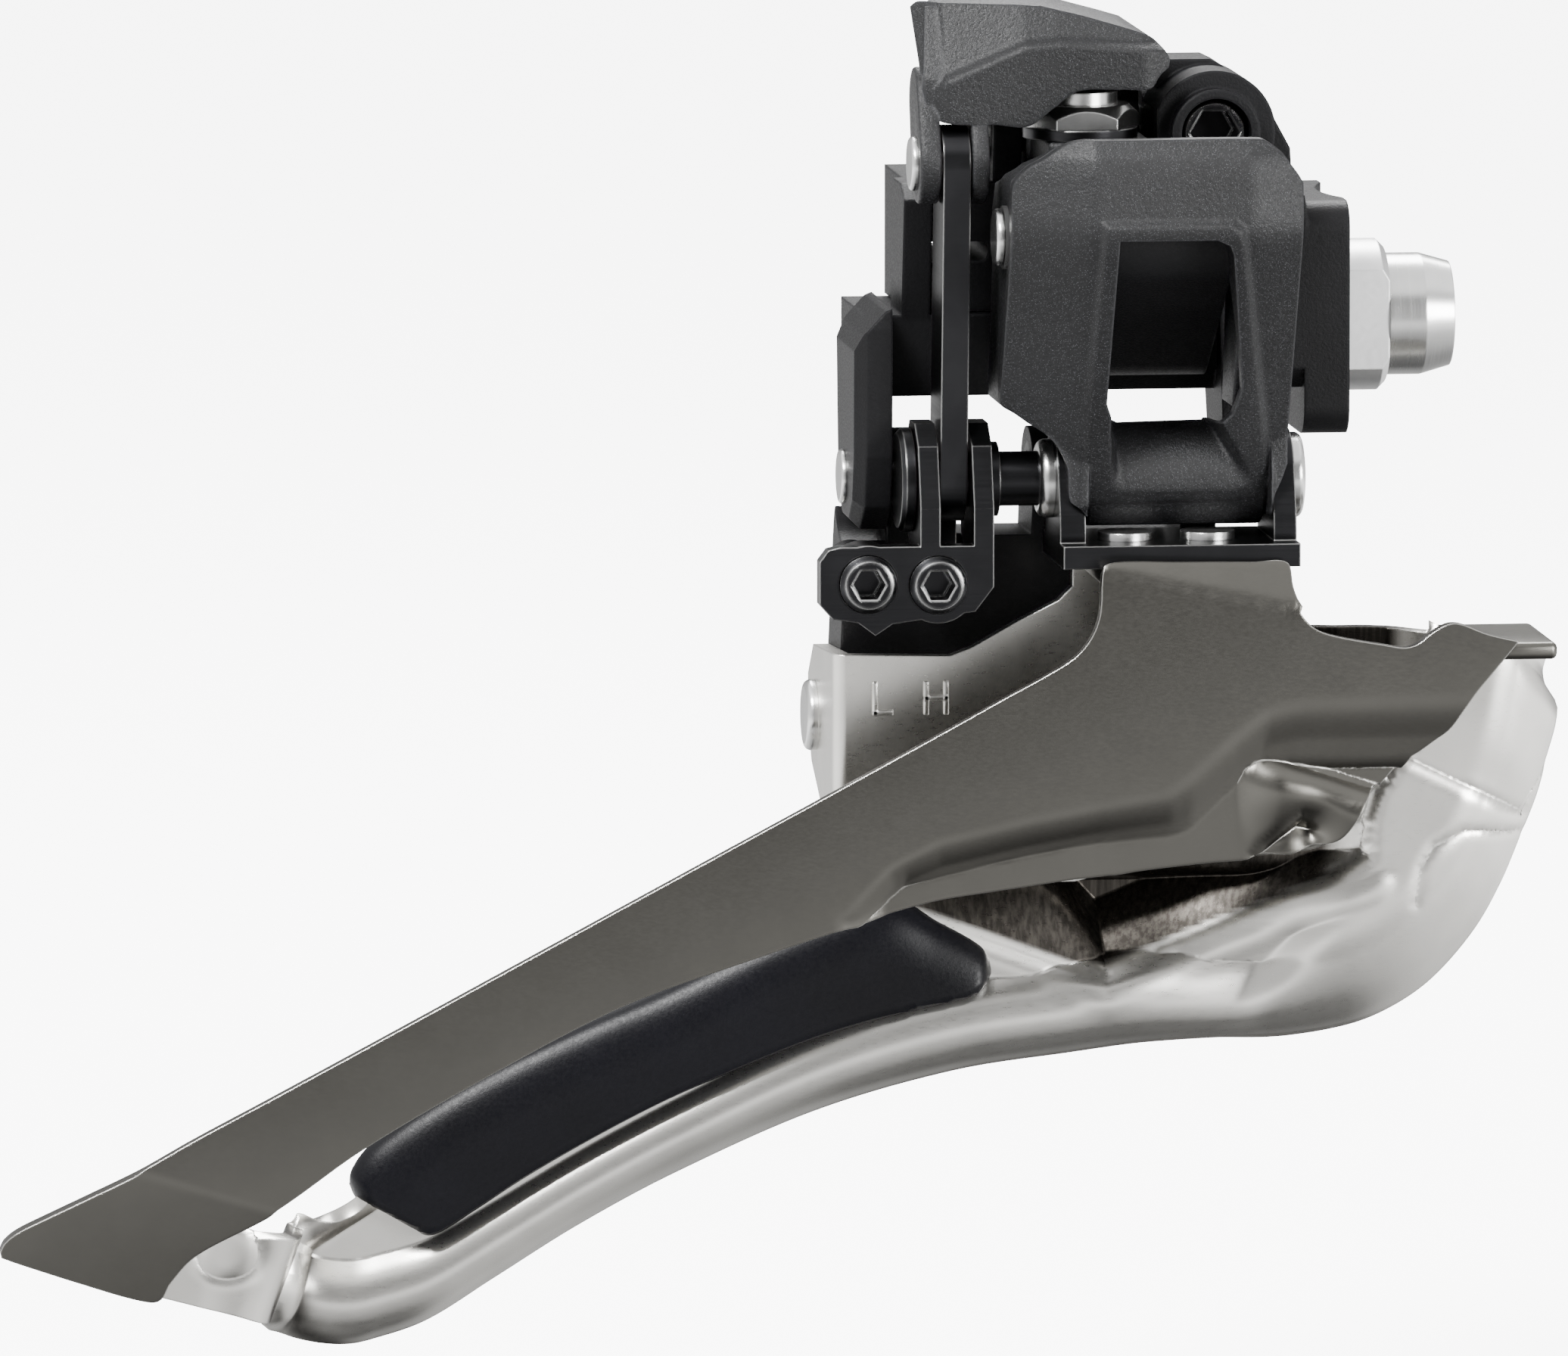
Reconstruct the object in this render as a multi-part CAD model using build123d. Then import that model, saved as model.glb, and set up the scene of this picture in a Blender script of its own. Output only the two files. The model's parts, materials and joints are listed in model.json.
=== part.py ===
from build123d import *
import os

# Front derailleur for a braze-on hanger, millimetres.
# +X points to the front of the bicycle, +Y inboard to the frame, +Z up.
# The origin is the centre of the hanger seat, on the axis of the fixing bolt.
# The cage is shown over the small chainring, its rest position.

# ---- driving dimensions ------------------------------------------------------------------------
# Pivots of the parallelogram and of the toggle, all parallel to X, as (Y, Z).
OUTER_TOP = (-22.0, 8.0)
OUTER_LOW = (-16.0, -9.5)
INNER_TOP = (-9.0, -10.0)
INNER_LOW = (INNER_TOP[0] + OUTER_LOW[0] - OUTER_TOP[0], INNER_TOP[1] + OUTER_LOW[1] - OUTER_TOP[1])
LEVER_PIVOT = (-6.0, 14.0)
TOGGLE_TOP = (-18.0, 12.8)

RUN = 0.05            # radial running clearance of a pivot
OPEN_PIVOT = 0.30     # radial clearance of the two pivots that close the loops
PIN = 1.6             # radius of the riveted pivot pins
AXLE = 1.9            # radius of the cage axle
BUSH_WALL = 0.6

SHEET = 1.2           # cage sheet thickness
OUTER_Y = -23.6       # outboard face of the outer cage plate
INNER_Y = -12.4       # outboard face of the inner cage plate
BRACKET_SHEET = 1.6   # steel of the cage bracket

BOLT_R = 2.5          # M5 fixing bolt
BOLT_HEAD_R = 4.3
BOLT_END_X = 8.3
WASHER_R = 5.35
WASHER_X = 3.6
SUPPORT = (-10.7, 14.6)   # X and Z of the support screw
SUPPORT_R = 2.4
SUPPORT_TIP_Y = 9.5
ANCHOR = (-19.9, -14.9)   # X and Y of the cable anchor bolt
SCREW_R = 2.0         # M4 limit screws
LOW_SCREW = (-35.5, -16.2)
HIGH_SCREW = (-30.6, -16.3)
SCREW_FACE_Y = -21.6
LOW_TIP_Y = -10.66    # rests on the inner link at the low limit
HIGH_TIP_Y = -16.75   # meets the tail of the rod at the high limit

LINK_LEFT = -26.3     # outer link, left and right faces
LINK_RIGHT = -6.0
LINK_FOLDS = (-20.8, -9.6)     # where its front turns back to the sides
LINK_SETBACK = (3.2, 1.0)      # how far the turned sides end behind the front
ARM_LEFT = -35.7      # left face of the arm of the base
EAR_LEFT = -37.0      # left ear of the inner bracket
LUG_LEFT = -21.6      # lug of the base inside the outer link
LUG_RIGHT = -10.6
ROD_X = (-30.2, -28.3)
SEAT_RADIUS = 14.0


# ---- helpers -----------------------------------------------------------------------------------
def slab(outline, y_low, y_high):
    """Prism of an (X, Z) outline between two depths."""
    wire = Polyline([(x, y_low, z) for x, z in outline], close=True)
    return extrude(make_face(wire), amount=y_high - y_low, dir=(0, 1, 0))


def bar(outline, x_low, x_high):
    """Prism of a (Y, Z) outline between two places along X."""
    wire = Polyline([(x_low, y, z) for y, z in outline], close=True)
    return extrude(make_face(wire), amount=x_high - x_low, dir=(1, 0, 0))


def block(x_low, x_high, y_low, y_high, z_low, z_high):
    """Rectangular block between its corner coordinates."""
    size = (x_high - x_low, y_high - y_low, z_high - z_low)
    middle = ((x_low + x_high) / 2, (y_low + y_high) / 2, (z_low + z_high) / 2)
    return Pos(*middle) * Box(*size)


def along_x(centre, radius, x_low, x_high):
    """Cylinder along X at a (Y, Z) centre."""
    place = Pos((x_low + x_high) / 2, centre[0], centre[1]) * Rot(0, 90, 0)
    return place * Cylinder(radius, x_high - x_low)


def along_y(centre, radius, y_low, y_high):
    """Cylinder along Y at an (X, Z) centre."""
    place = Pos(centre[0], (y_low + y_high) / 2, centre[1]) * Rot(90, 0, 0)
    return place * Cylinder(radius, y_high - y_low)


def along_z(centre, radius, z_low, z_high):
    """Cylinder along Z at an (X, Y) centre."""
    return Pos(centre[0], centre[1], (z_low + z_high) / 2) * Cylinder(radius, z_high - z_low)


def hex_socket_y(centre, flat, y_low, y_high):
    """Hexagonal socket along Y."""
    sketch = Plane((centre[0], y_low, centre[1]), x_dir=(1, 0, 0), z_dir=(0, 1, 0))
    return extrude(sketch * RegularPolygon(flat / 2, 6, major_radius=False), amount=y_high - y_low)


def round_edges(shape, axis, radius):
    """Rounds every straight edge that runs along an axis."""
    return fillet(shape.edges().filter_by(axis), radius)


def strap(start, end, radius_start, radius_end, x_low, x_high):
    """Flat link with two round ends in the YZ plane."""
    first = Plane((x_low, 0, 0), x_dir=(0, 1, 0), z_dir=(1, 0, 0))
    ends = Sketch() + Pos(*start) * Circle(radius_start) + Pos(*end) * Circle(radius_end)
    return extrude(first * make_hull(ends.edges()), amount=x_high - x_low)


def save(shape, node):
    """Writes one sub-part."""
    export_step(shape, f"parts/{node}.step")


# ---- base, fixed to the frame --------------------------------------------------------------------
def base_body():
    mount_block = round_edges(block(-3.2, 0, -9, 9, -7.6, 8.8), Axis.X, 2.0)
    seat = along_z((SEAT_RADIUS - 1.0, 0), SEAT_RADIUS, -20, 20)
    core = block(-24, -3.0, -9, 7, -4.3, 9.2)
    core = chamfer(core.edges().filter_by(Axis.X), 1.5)
    back_wall = block(-34.4, -23.5, -10, 3, -4.3, 1.4) + block(-31.2, -23.5, -9, 4, 1.5, 10.6)
    back_wall -= round_edges(block(-30.2, -25.6, -12, 8, 5.0, 6.4), Axis.Y, 0.6)
    top_foot = bar([(-10, 1), (-11.5, 9.6), (-9.5, 10.6), (-5.5, 10.6), (-4, 1)], -31.8, -29.8)
    arm_side = [(-15.0, 4.2), (-15.5, 1.0), (-15.3, -8.0), (-14.3, -11.6), (-11.8, -13.4), (-8.0, -13.4),
                (-5.4, -12.0), (-4.7, -8.0), (-3.5, 4.2)]
    arm_front = [(-33.1, 2.4), (-33.6, 2.2), (-35.1, 0.6), (ARM_LEFT, -0.6), (ARM_LEFT, -14), (-33.1, -14)]
    arm = bar(arm_side, ARM_LEFT, -33.1)
    arm = chamfer(arm.faces().sort_by(Axis.X)[0].edges(), 0.8) & slab(arm_front, -16, -3)
    lug = strap(OUTER_TOP, (-10, 2.5), 3.55, 5.5, LUG_LEFT, LUG_RIGHT)
    right_arm = strap((-6.0, 0.5), INNER_TOP, 4.5, 3.6, -9.4, -6.2)
    ring_low = along_y(SUPPORT, 3.1, -17.8, -15)
    ring = along_y(SUPPORT, 4.3, -16.6, -9)
    tower_front = [(-14.1, 6), (-14.1, 19.3), (-10.4, 19.3), (-9.6, 18.9), (-7.6, 17.0),
                   (-5.9, 15.2), (-4.7, 13.0), (-4.6, 11.0), (-4.6, 6)]
    tower_back = [(-14.1, 6), (-14.1, 17.9), (-9.8, 17.9), (-7.0, 15.4), (-5.4, 12.6), (-5.0, 6)]
    tower = slab(tower_front, -12, -7) + slab(tower_back, -7, 3)
    left_ear = strap(LEVER_PIVOT, (-4, 7), 3.1, 4.0, -25.2, -23.2)
    right_ear = strap(LEVER_PIVOT, (-4, 7), 3.1, 4.0, -14.6, -13.4)
    body = mount_block + core + back_wall + top_foot + arm + lug + right_arm + tower
    body += ring_low + ring + left_ear + right_ear
    body -= seat
    body -= along_x((0, 0), BOLT_R, -14, 1)
    body -= along_x(LEVER_PIVOT, 3.7, -23.1, -14.7)
    body -= block(-23.1, -14.7, -20, -3, 10.6, 18)
    body -= along_x(LEVER_PIVOT, PIN, -40, -13.4)
    body -= along_x(OUTER_TOP, PIN, -40, 0)
    body -= along_x(INNER_TOP, PIN, -40, -4)
    body -= along_y(SUPPORT, SUPPORT_R + RUN, -30, 20)
    body -= spring_room()
    return body


def spring_room():
    """Space round the return spring and the knuckles of the inner link."""
    return along_x(INNER_TOP, 4.0, -33.3, -9.5)


def fixing_bolt():
    head = along_x((0, 0), BOLT_HEAD_R, WASHER_X, WASHER_X + 2.6)
    nose = Pos((WASHER_X + 2.6 + BOLT_END_X) / 2, 0, 0) * Rot(0, 90, 0)
    nose = nose * Cone(BOLT_HEAD_R, 3.7, BOLT_END_X - WASHER_X - 2.6)
    socket_plane = Plane((BOLT_END_X + 1, 0, 0), x_dir=(0, 1, 0), z_dir=(-1, 0, 0))
    socket = extrude(socket_plane * RegularPolygon(2.5, 6, major_radius=False), amount=4.2)
    return head + nose + along_x((0, 0), BOLT_R, -13.5, WASHER_X + 1) - socket


def hanger_washer():
    disc = along_x((0, 0), WASHER_R, -0.6, WASHER_X)
    disc = chamfer(disc.edges().filter_by(GeomType.CIRCLE), 0.5)
    flats = block(-2, 5, -4.05, 4.05, -8, 8)
    seat = along_z((SEAT_RADIUS - 1.0, 0), SEAT_RADIUS, -20, 20)
    return (disc & flats & seat) - along_x((0, 0), BOLT_R, -3, 5)


def support_bolt():
    screw = along_y(SUPPORT, SUPPORT_R, -17.0, SUPPORT_TIP_Y)
    screw = chamfer(screw.edges().filter_by(GeomType.CIRCLE), 0.4)
    return screw - hex_socket_y(SUPPORT, 3.0, -18, -14)


def headed_pin(centre, radius, x_low, x_high, head_radius, head_depth):
    """Pin along X with a domed head at its low end."""
    head = along_x(centre, head_radius, x_low - head_depth, x_low)
    head = fillet(head.edges().sort_by(Axis.X)[0], head_depth * 0.6)
    return head + along_x(centre, radius, x_low - 0.1, x_high)


def return_spring():
    """Torsion spring round the upper pin of the inner link, with its two legs."""
    turns = 5.5
    pitch = 1.12
    radius = 2.75
    wire = 0.5
    path = Helix(pitch, turns * pitch, radius)
    profile = Plane(path @ 0, z_dir=path % 0) * Circle(wire)
    coil = sweep(profile, path=path, is_frenet=True)
    coil = Pos(-19.2, INNER_TOP[0], INNER_TOP[1]) * Rot(0, 90, 0) * coil
    return coil


# ---- outer link ----------------------------------------------------------------------------------
LINK_FRONT = [(-26.5, 11.8), (-24.2, 13.7), (-22.0, 15.2), (-9.2, 15.2), (-7.4, 14.3), (-6.0, 12.2),
              (-6.0, -6.5), (-7.0, -12.9), (-21.25, -12.9), (-21.3, -9.2), (-23.3, -6.6),
              (-26.5, -4.0)]
LINK_SIDE = [(-25.9, 15.2), (-28.0, 15.2), (-29.2, 13.6), (-29.3, 8.5), (-20.6, -8.0), (-19.4, -10.6),
             (-18.0, -12.4), (-16.0, -12.9), (-13.6, -11.9), (-12.6, -9.8), (-13.2, -7.4),
             (-16.5, -2.0), (-18.4, 5.0), (-18.6, 9.6), (-19.9, 11.3), (-22.8, 11.8), (-25.6, 12.6)]
WINDOW = [(-19.0, 8.3), (-11.8, 8.3), (-11.1, 7.4), (-9.4, -3.0), (-10.2, -4.4), (-11.6, -5.0),
          (-18.0, -5.0), (-19.0, -4.0)]


def turned_side(fold, end, setback):
    """Side of the outer link, whose front runs back from a fold."""
    wire = Polyline([(fold, y, z) for y, z in LINK_SIDE], close=True)
    run = Vector(end - fold, setback, 0)
    skewed = extrude(make_face(wire), amount=run.length, dir=run)
    return skewed & bar(LINK_SIDE, min(fold, end), max(fold, end))


def outer_link():
    shell = bar(LINK_SIDE, *LINK_FOLDS)
    shell = shell + turned_side(LINK_FOLDS[0], LINK_LEFT, LINK_SETBACK[0])
    shell = shell + turned_side(LINK_FOLDS[1], LINK_RIGHT, LINK_SETBACK[1])
    shell = shell & slab(LINK_FRONT, -32, -8)
    shell = shell - slab(WINDOW, -32, -8)
    inside = [(-26.6, 13.0), (-27.1, 12.4), (-27.2, 8.2), (-20.2, -5.0), (-14.0, -5.0), (-14.0, 16),
              (-24.6, 16)]
    shell -= bar(inside, LUG_LEFT - 0.4, LUG_RIGHT + 0.4)
    boss = along_x(OUTER_LOW, 3.4, -19.8, -7.4)
    shell = shell + boss
    shell -= along_x(OUTER_TOP, PIN + BUSH_WALL, LINK_LEFT - 1, -7.6)
    shell -= along_x(OUTER_LOW, AXLE + BUSH_WALL, LINK_LEFT - 1, 0)
    ends = block(LINK_LEFT - 1, -19.9, -20, -8, -14, -5.2) + block(-7.3, 0, -30, -8, -14, -4.8)
    return shell - ends


def bush(centre, inner, x_low, x_high):
    """Plain bush along X."""
    tube = along_x(centre, inner + BUSH_WALL - RUN, x_low, x_high)
    return tube - along_x(centre, inner, x_low - 1, x_high + 1)


def outer_link_bushes():
    left = bush(OUTER_TOP, PIN + RUN, LINK_LEFT, LUG_LEFT - 0.5)
    right = bush(OUTER_TOP, PIN + RUN, LUG_RIGHT + 0.5, -7.6)
    return Compound(children=[left, right])


def cage_axle_bushes():
    left = bush(OUTER_LOW, AXLE + RUN, -19.8, -16.0)
    right = bush(OUTER_LOW, AXLE + RUN, -11.2, -7.4)
    return Compound(children=[left, right])


# ---- inner link ----------------------------------------------------------------------------------
def inner_link():
    web = strap(INNER_TOP, INNER_LOW, 3.4, 3.2, -32.9, -9.8)
    web = web + strap((-7.3, -15.0), INNER_LOW, 3.3, 3.2, EAR_LEFT + 1.15, -32.8)
    web -= block(-40, -21.7 + 12.5, -30, 10, -40, -31.5)
    web -= block(-21.7, 0, -30, 10, -40, -20.5)
    web -= block(-30.7, -22.8, -30, 10, -14.0, 0)
    web -= block(-19.9, -12.3, -30, 10, -14.2, 0)
    web -= along_x(INNER_TOP, 4.6, -40, -33.0)
    web -= along_x(INNER_TOP, PIN + BUSH_WALL, -40, 0)
    web -= along_x(INNER_LOW, 1.8 + OPEN_PIVOT, -40, 0)
    web -= block(-30.7, -27.6, -16, -9.9, -24, -13)
    return web


def inner_link_bushes():
    left = bush(INNER_TOP, PIN + RUN, -32.9, -30.7)
    right = bush(INNER_TOP, PIN + RUN, -22.8, -19.9)
    end = bush(INNER_TOP, PIN + RUN, -12.3, -9.8)
    return Compound(children=[left, right, end])


# ---- toggle: lever and rod -----------------------------------------------------------------------
def toggle_lever():
    cap_outline = [(-32, 24.0), (-23.1, 23.7), (-15.6, 21.6), (-14.5, 20.5), (-14.5, 19.6),
                   (-15.3, 18.6), (-15.6, 17.9), (-20.9, 17.9), (-24.0, 15.4), (-24.7, 15.3),
                   (-31.0, 15.9), (-32.0, 17.5)]
    cap_side = [(-19.8, 15.0), (-20.3, 18.4), (-17.5, 24.5), (-4.5, 24.5), (-2.0, 21.0), (-2.0, 15.0)]
    cap = slab(cap_outline, -22, -1) & bar(cap_side, -33, -13)
    cap -= block(-27.0, -13.0, -11.0, 0, 10, 19.2)
    cap -= along_z(ANCHOR, 4.5, 10, 18.2)
    left_ear = strap(TOGGLE_TOP, (-17.6, 17.0), 2.8, 3.2, -31.8, -30.5)
    right_ear = strap(TOGGLE_TOP, (-17.6, 17.0), 2.8, 3.2, -28.0, -26.95)
    hub = along_x(LEVER_PIVOT, 3.2, -22.9, -14.9)
    post = bar([(-8.5, 14.5), (-8.9, 19.5), (-3.6, 19.5), (-3.0, 14.5)], -22.9, -14.9)
    deck = bar([(-18.8, 12.8), (-18.8, 14.2), (-7.0, 14.2), (-7.0, 11.8)], -22.6, -15.2)
    lever = cap + left_ear + right_ear + hub + post + deck
    lever -= along_x(LEVER_PIVOT, PIN + RUN, -40, 0)
    lever -= along_x(TOGGLE_TOP, 1.35, -40, -20)
    lever -= along_z(ANCHOR, 2.0, 5, 14.6)
    return lever


def cable_anchor_bolt():
    shank = along_z(ANCHOR, 2.0, 12.8, 15.2)
    hexagon = Plane((*ANCHOR, 15.0), z_dir=(0, 0, 1)) * RegularPolygon(3.7, 6, major_radius=False)
    head = extrude(hexagon, amount=1.6) & Pos(*ANCHOR, 15.8) * Cone(5.0, 3.4, 1.6)
    collar = along_z(ANCHOR, 2.6, 16.5, 17.5)
    return shank + head + collar


def cable_clamp_washer():
    washer = along_z(ANCHOR, 4.0, 14.25, 15.0)
    return washer - along_z(ANCHOR, 2.0, 14, 16)


def toggle_rod():
    rod = strap(TOGGLE_TOP, OUTER_LOW, 2.7, 2.9, *ROD_X)
    tail = bar([(-13.4, -9.5), (-12.4, -18.4), (-10.9, -18.6), (-10.6, -15.5), (-13.2, -8.5)], *ROD_X)
    rod = rod + tail
    rod -= along_x(TOGGLE_TOP, 1.35 + OPEN_PIVOT, -40, 0)
    rod -= along_x(OUTER_LOW, AXLE + RUN, -40, 0)
    return rod


# ---- cage ----------------------------------------------------------------------------------------
def cage_bracket():
    web = block(-22.0, -5.4, -22.4, -11.5, -15.2, -15.2 + BRACKET_SHEET)
    left = strap(OUTER_LOW, (-16.5, -13.0), 3.3, 4.0, -22.0, -20.2) & block(-30, 0, -30, 0, -15.2, 0)
    right = strap(OUTER_LOW, (-16.5, -13.0), 3.3, 4.0, -7.0, -5.4) & block(-30, 0, -30, 0, -15.2, 0)
    bracket = web + left + right
    bracket -= along_x(OUTER_LOW, AXLE, -40, 0)
    for x in (-17.2, -11.4):
        bracket -= along_z((x, -18.5), 1.2, -20, -10)
    return bracket


def cage_axle():
    return along_x(OUTER_LOW, AXLE, -31.95, -5.2)


def axle_end_washer():
    washer = along_x(OUTER_LOW, 3.6, -32.9, -31.95)
    washer = chamfer(washer.edges().sort_by(Axis.X)[0], 0.3)
    return washer


def axle_collar():
    collar = along_x(OUTER_LOW, 2.6, -26.6, -25.9)
    return collar - along_x(OUTER_LOW, AXLE, -40, 0)


def axle_rivet_heads():
    left = along_x(OUTER_LOW, 2.75, -23.1, -22.0)
    left = fillet(left.edges().sort_by(Axis.X)[0], 0.6)
    left -= along_x(OUTER_LOW, AXLE, -40, 0)
    right = along_x(OUTER_LOW, 3.0, -5.4, -4.5)
    right = fillet(right.edges().sort_by(Axis.X)[-1], 0.5)
    right -= along_x(OUTER_LOW, AXLE, -40, -5.2)
    return Compound(children=[left, right])


def limit_screw_plate():
    plate_outline = [(-38.9, -14.6), (-38.3, -13.8), (-37.5, -13.6), (-26.7, -13.6), (-26.7, -16.5),
                     (-28.0, -18.2), (-33.8, -19.0), (-35.0, -19.8), (-36.2, -18.9), (-38.0, -18.6),
                     (-38.9, -17.6)]
    plate = slab(plate_outline, -21.0, -19.4)
    ear = [(-21.0, -14.5), (-21.0, -11.0), (-19.6, -6.8), (-17.6, -5.4), (-14.9, -5.4), (-13.3, -6.8),
           (-12.9, -10.5), (-14.0, -13.4), (-19.4, -16.5), (-21.0, -16.5)]
    plate = plate + bar(ear, -31.85, -30.45) + bar(ear, -28.1, -26.7)
    for x, z in (LOW_SCREW, HIGH_SCREW):
        plate += along_y((x, z), 2.7, -21.0, -17.6)
    plate -= block(-30.4, -28.15, -19.4, -8, -19, 0)
    for x, z in (LOW_SCREW, HIGH_SCREW):
        plate -= along_y((x, z), SCREW_R + RUN, -30, 0)
    return plate - along_x(OUTER_LOW, AXLE, -40, 0)


def limit_screw(centre, tip_y):
    screw = along_y(centre, SCREW_R, SCREW_FACE_Y, tip_y)
    screw = chamfer(screw.edges().filter_by(GeomType.CIRCLE), 0.35)
    return screw - hex_socket_y(centre, 2.0, SCREW_FACE_Y - 1, SCREW_FACE_Y + 2)


def inner_bracket():
    flange_outline = [(EAR_LEFT, -22.0), (-28.8, -22.2), (-27.2, -21.6), (-24.0, -19.8), (-21.2, -18.4),
                      (-20.2, -17.4), (-20.2, -15.2), (-6.4, -15.2), (-5.6, -19.5), (-1.0, -23.0),
                      (-1.0, -33.5), (-20, -38.2), (-26, -38.2), (EAR_LEFT, -39.0)]
    flange = slab(flange_outline, INNER_Y - SHEET, INNER_Y)
    flange = fillet(flange.edges().filter_by(Axis.Z).sort_by(Axis.X)[0], 0.9)
    left_ear = bar([(INNER_Y, -22.0), (-2.0, -22.6), (1.0, -25.0), (1.2, -28.0), (-1.0, -31.0),
                    (INNER_Y, -36.0)], EAR_LEFT, EAR_LEFT + 1.1)
    right_ear = bar([(INNER_Y, -22.0), (-2.0, -23.6), (0.4, -26.0), (0.2, -29.0), (-1.6, -30.8),
                     (INNER_Y, -32.0)], -21.3, -20.1)
    bracket = flange + left_ear + right_ear
    return bracket - along_x(INNER_LOW, 1.8, -40, 0)


OUTER_OUTLINE_TOP = [(-95.6, -60.8), (-86.8, -56.0), (-70.0, -47.1), (-50.0, -36.5), (-30.0, -25.9),
                     (-23.3, -22.3), (-20.6, -20.3), (-19.7, -18.3), (-19.7, -15.2), (-6.6, -15.2),
                     (-6.0, -18.0), (-4.6, -19.5), (1.6, -20.7), (4.2, -19.0), (12.2, -20.7)]
OUTER_OUTLINE_LOW = [(9.2, -20.9), (3.9, -27.0), (1.5, -28.7), (-2.5, -33.9), (-4.7, -35.1),
                     (-14.0, -35.8), (-30.0, -37.8), (-46.2, -42.5), (-60.0, -48.5), (-70.0, -53.9),
                     (-80.0, -60.0), (-84.4, -63.6), (-85.6, -65.2), (-96.4, -61.9)]


def outer_plate():
    plate = slab(OUTER_OUTLINE_TOP + OUTER_OUTLINE_LOW, OUTER_Y, OUTER_Y + SHEET)
    top_flange = block(-19.5, -6.8, OUTER_Y + 0.2, INNER_Y - SHEET, -15.2 - SHEET, -15.2)
    bridge = bar([(OUTER_Y + 0.4, -20.6), (OUTER_Y + 0.4, -21.8), (INNER_Y, -23.4), (INNER_Y, -22.2)],
                 4.4, 11.8)
    plate = plate + top_flange + bridge
    for x in (-17.2, -11.4):
        plate -= along_z((x, -18.5), 1.2, -20, -10)
    return plate


INNER_OUTLINE = [(-75.6, -61.5), (-71.6, -60.2), (-66.0, -55.2), (-50.0, -46.6), (-36.0, -39.6),
                 (-23.0, -33.2), (-19.6, -33.2), (-15.0, -26.0), (-5.0, -20.8), (4.0, -21.6), (11.8, -21.8), (13.6, -22.5),
                 (13.0, -24.6), (14.5, -27.6), (11.4, -35.5), (9.2, -40.4), (5.1, -45.5), (0.0, -48.2),
                 (-5.0, -48.9), (-15.0, -49.0), (-28.6, -50.8), (-43.7, -55.4), (-58.7, -63.4),
                 (-67.2, -68.6), (-71.5, -70.2), (-74.5, -69.4), (-77.0, -67.5)]


def inner_plate():
    plate = slab(INNER_OUTLINE, INNER_Y, INNER_Y + SHEET)
    tail_wall = slab([(-78.2, -67.8), (-75.6, -61.5), (-74.2, -61.5), (-76.6, -67.8)],
                     OUTER_Y + SHEET, INNER_Y + SHEET)
    tab = slab([(-86.0, -60.5), (-75.6, -60.8), (-77.4, -66.4), (-84.9, -64.4)],
               OUTER_Y + SHEET, OUTER_Y + 2 * SHEET)
    plate = plate + tail_wall + tab
    return plate - along_y((-81.0, -62.2), 1.5, -30, 0)


SKID_OUTLINE = [(-70.5, -58.5), (-69.3, -56.3), (-66.8, -54.4), (-58.9, -50.0), (-48.9, -45.7),
                (-40.0, -41.4), (-33.2, -39.4), (-26.5, -43.3), (-26.2, -44.5), (-27.2, -45.9),
                (-38.9, -48.8), (-48.9, -52.8), (-58.9, -58.0), (-65.3, -62.0), (-66.2, -61.6)]


def skid_pad():
    pad = slab(SKID_OUTLINE, INNER_Y - 2.6, INNER_Y)
    return chamfer(pad.faces().sort_by(Axis.Y)[0].edges(), 0.6)


def tail_rivet():
    head = along_y((-81.0, -62.2), 2.6, OUTER_Y + 2 * SHEET, OUTER_Y + 2 * SHEET + 0.7)
    return head + along_y((-81.0, -62.2), 1.5, OUTER_Y + SHEET, OUTER_Y + 2 * SHEET + 0.1)


def web_rivets():
    rivets = []
    for x in (-17.2, -11.4):
        shank = along_z((x, -18.5), 1.2, -16.4, -13.5)
        head = along_z((x, -18.5), 1.9, -15.2 + BRACKET_SHEET, -15.2 + BRACKET_SHEET + 0.6)
        rivets.append(shank + head)
    return Compound(children=rivets)


def bracket_rivets():
    rivets = []
    for x, z in ((-28.0, -37.0), (-10.0, -30.0), (-4.0, -26.0)):
        rivets.append(along_y((x, z), 1.2, INNER_Y - SHEET - 0.7, INNER_Y - SHEET))
    return Compound(children=rivets)


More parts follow.
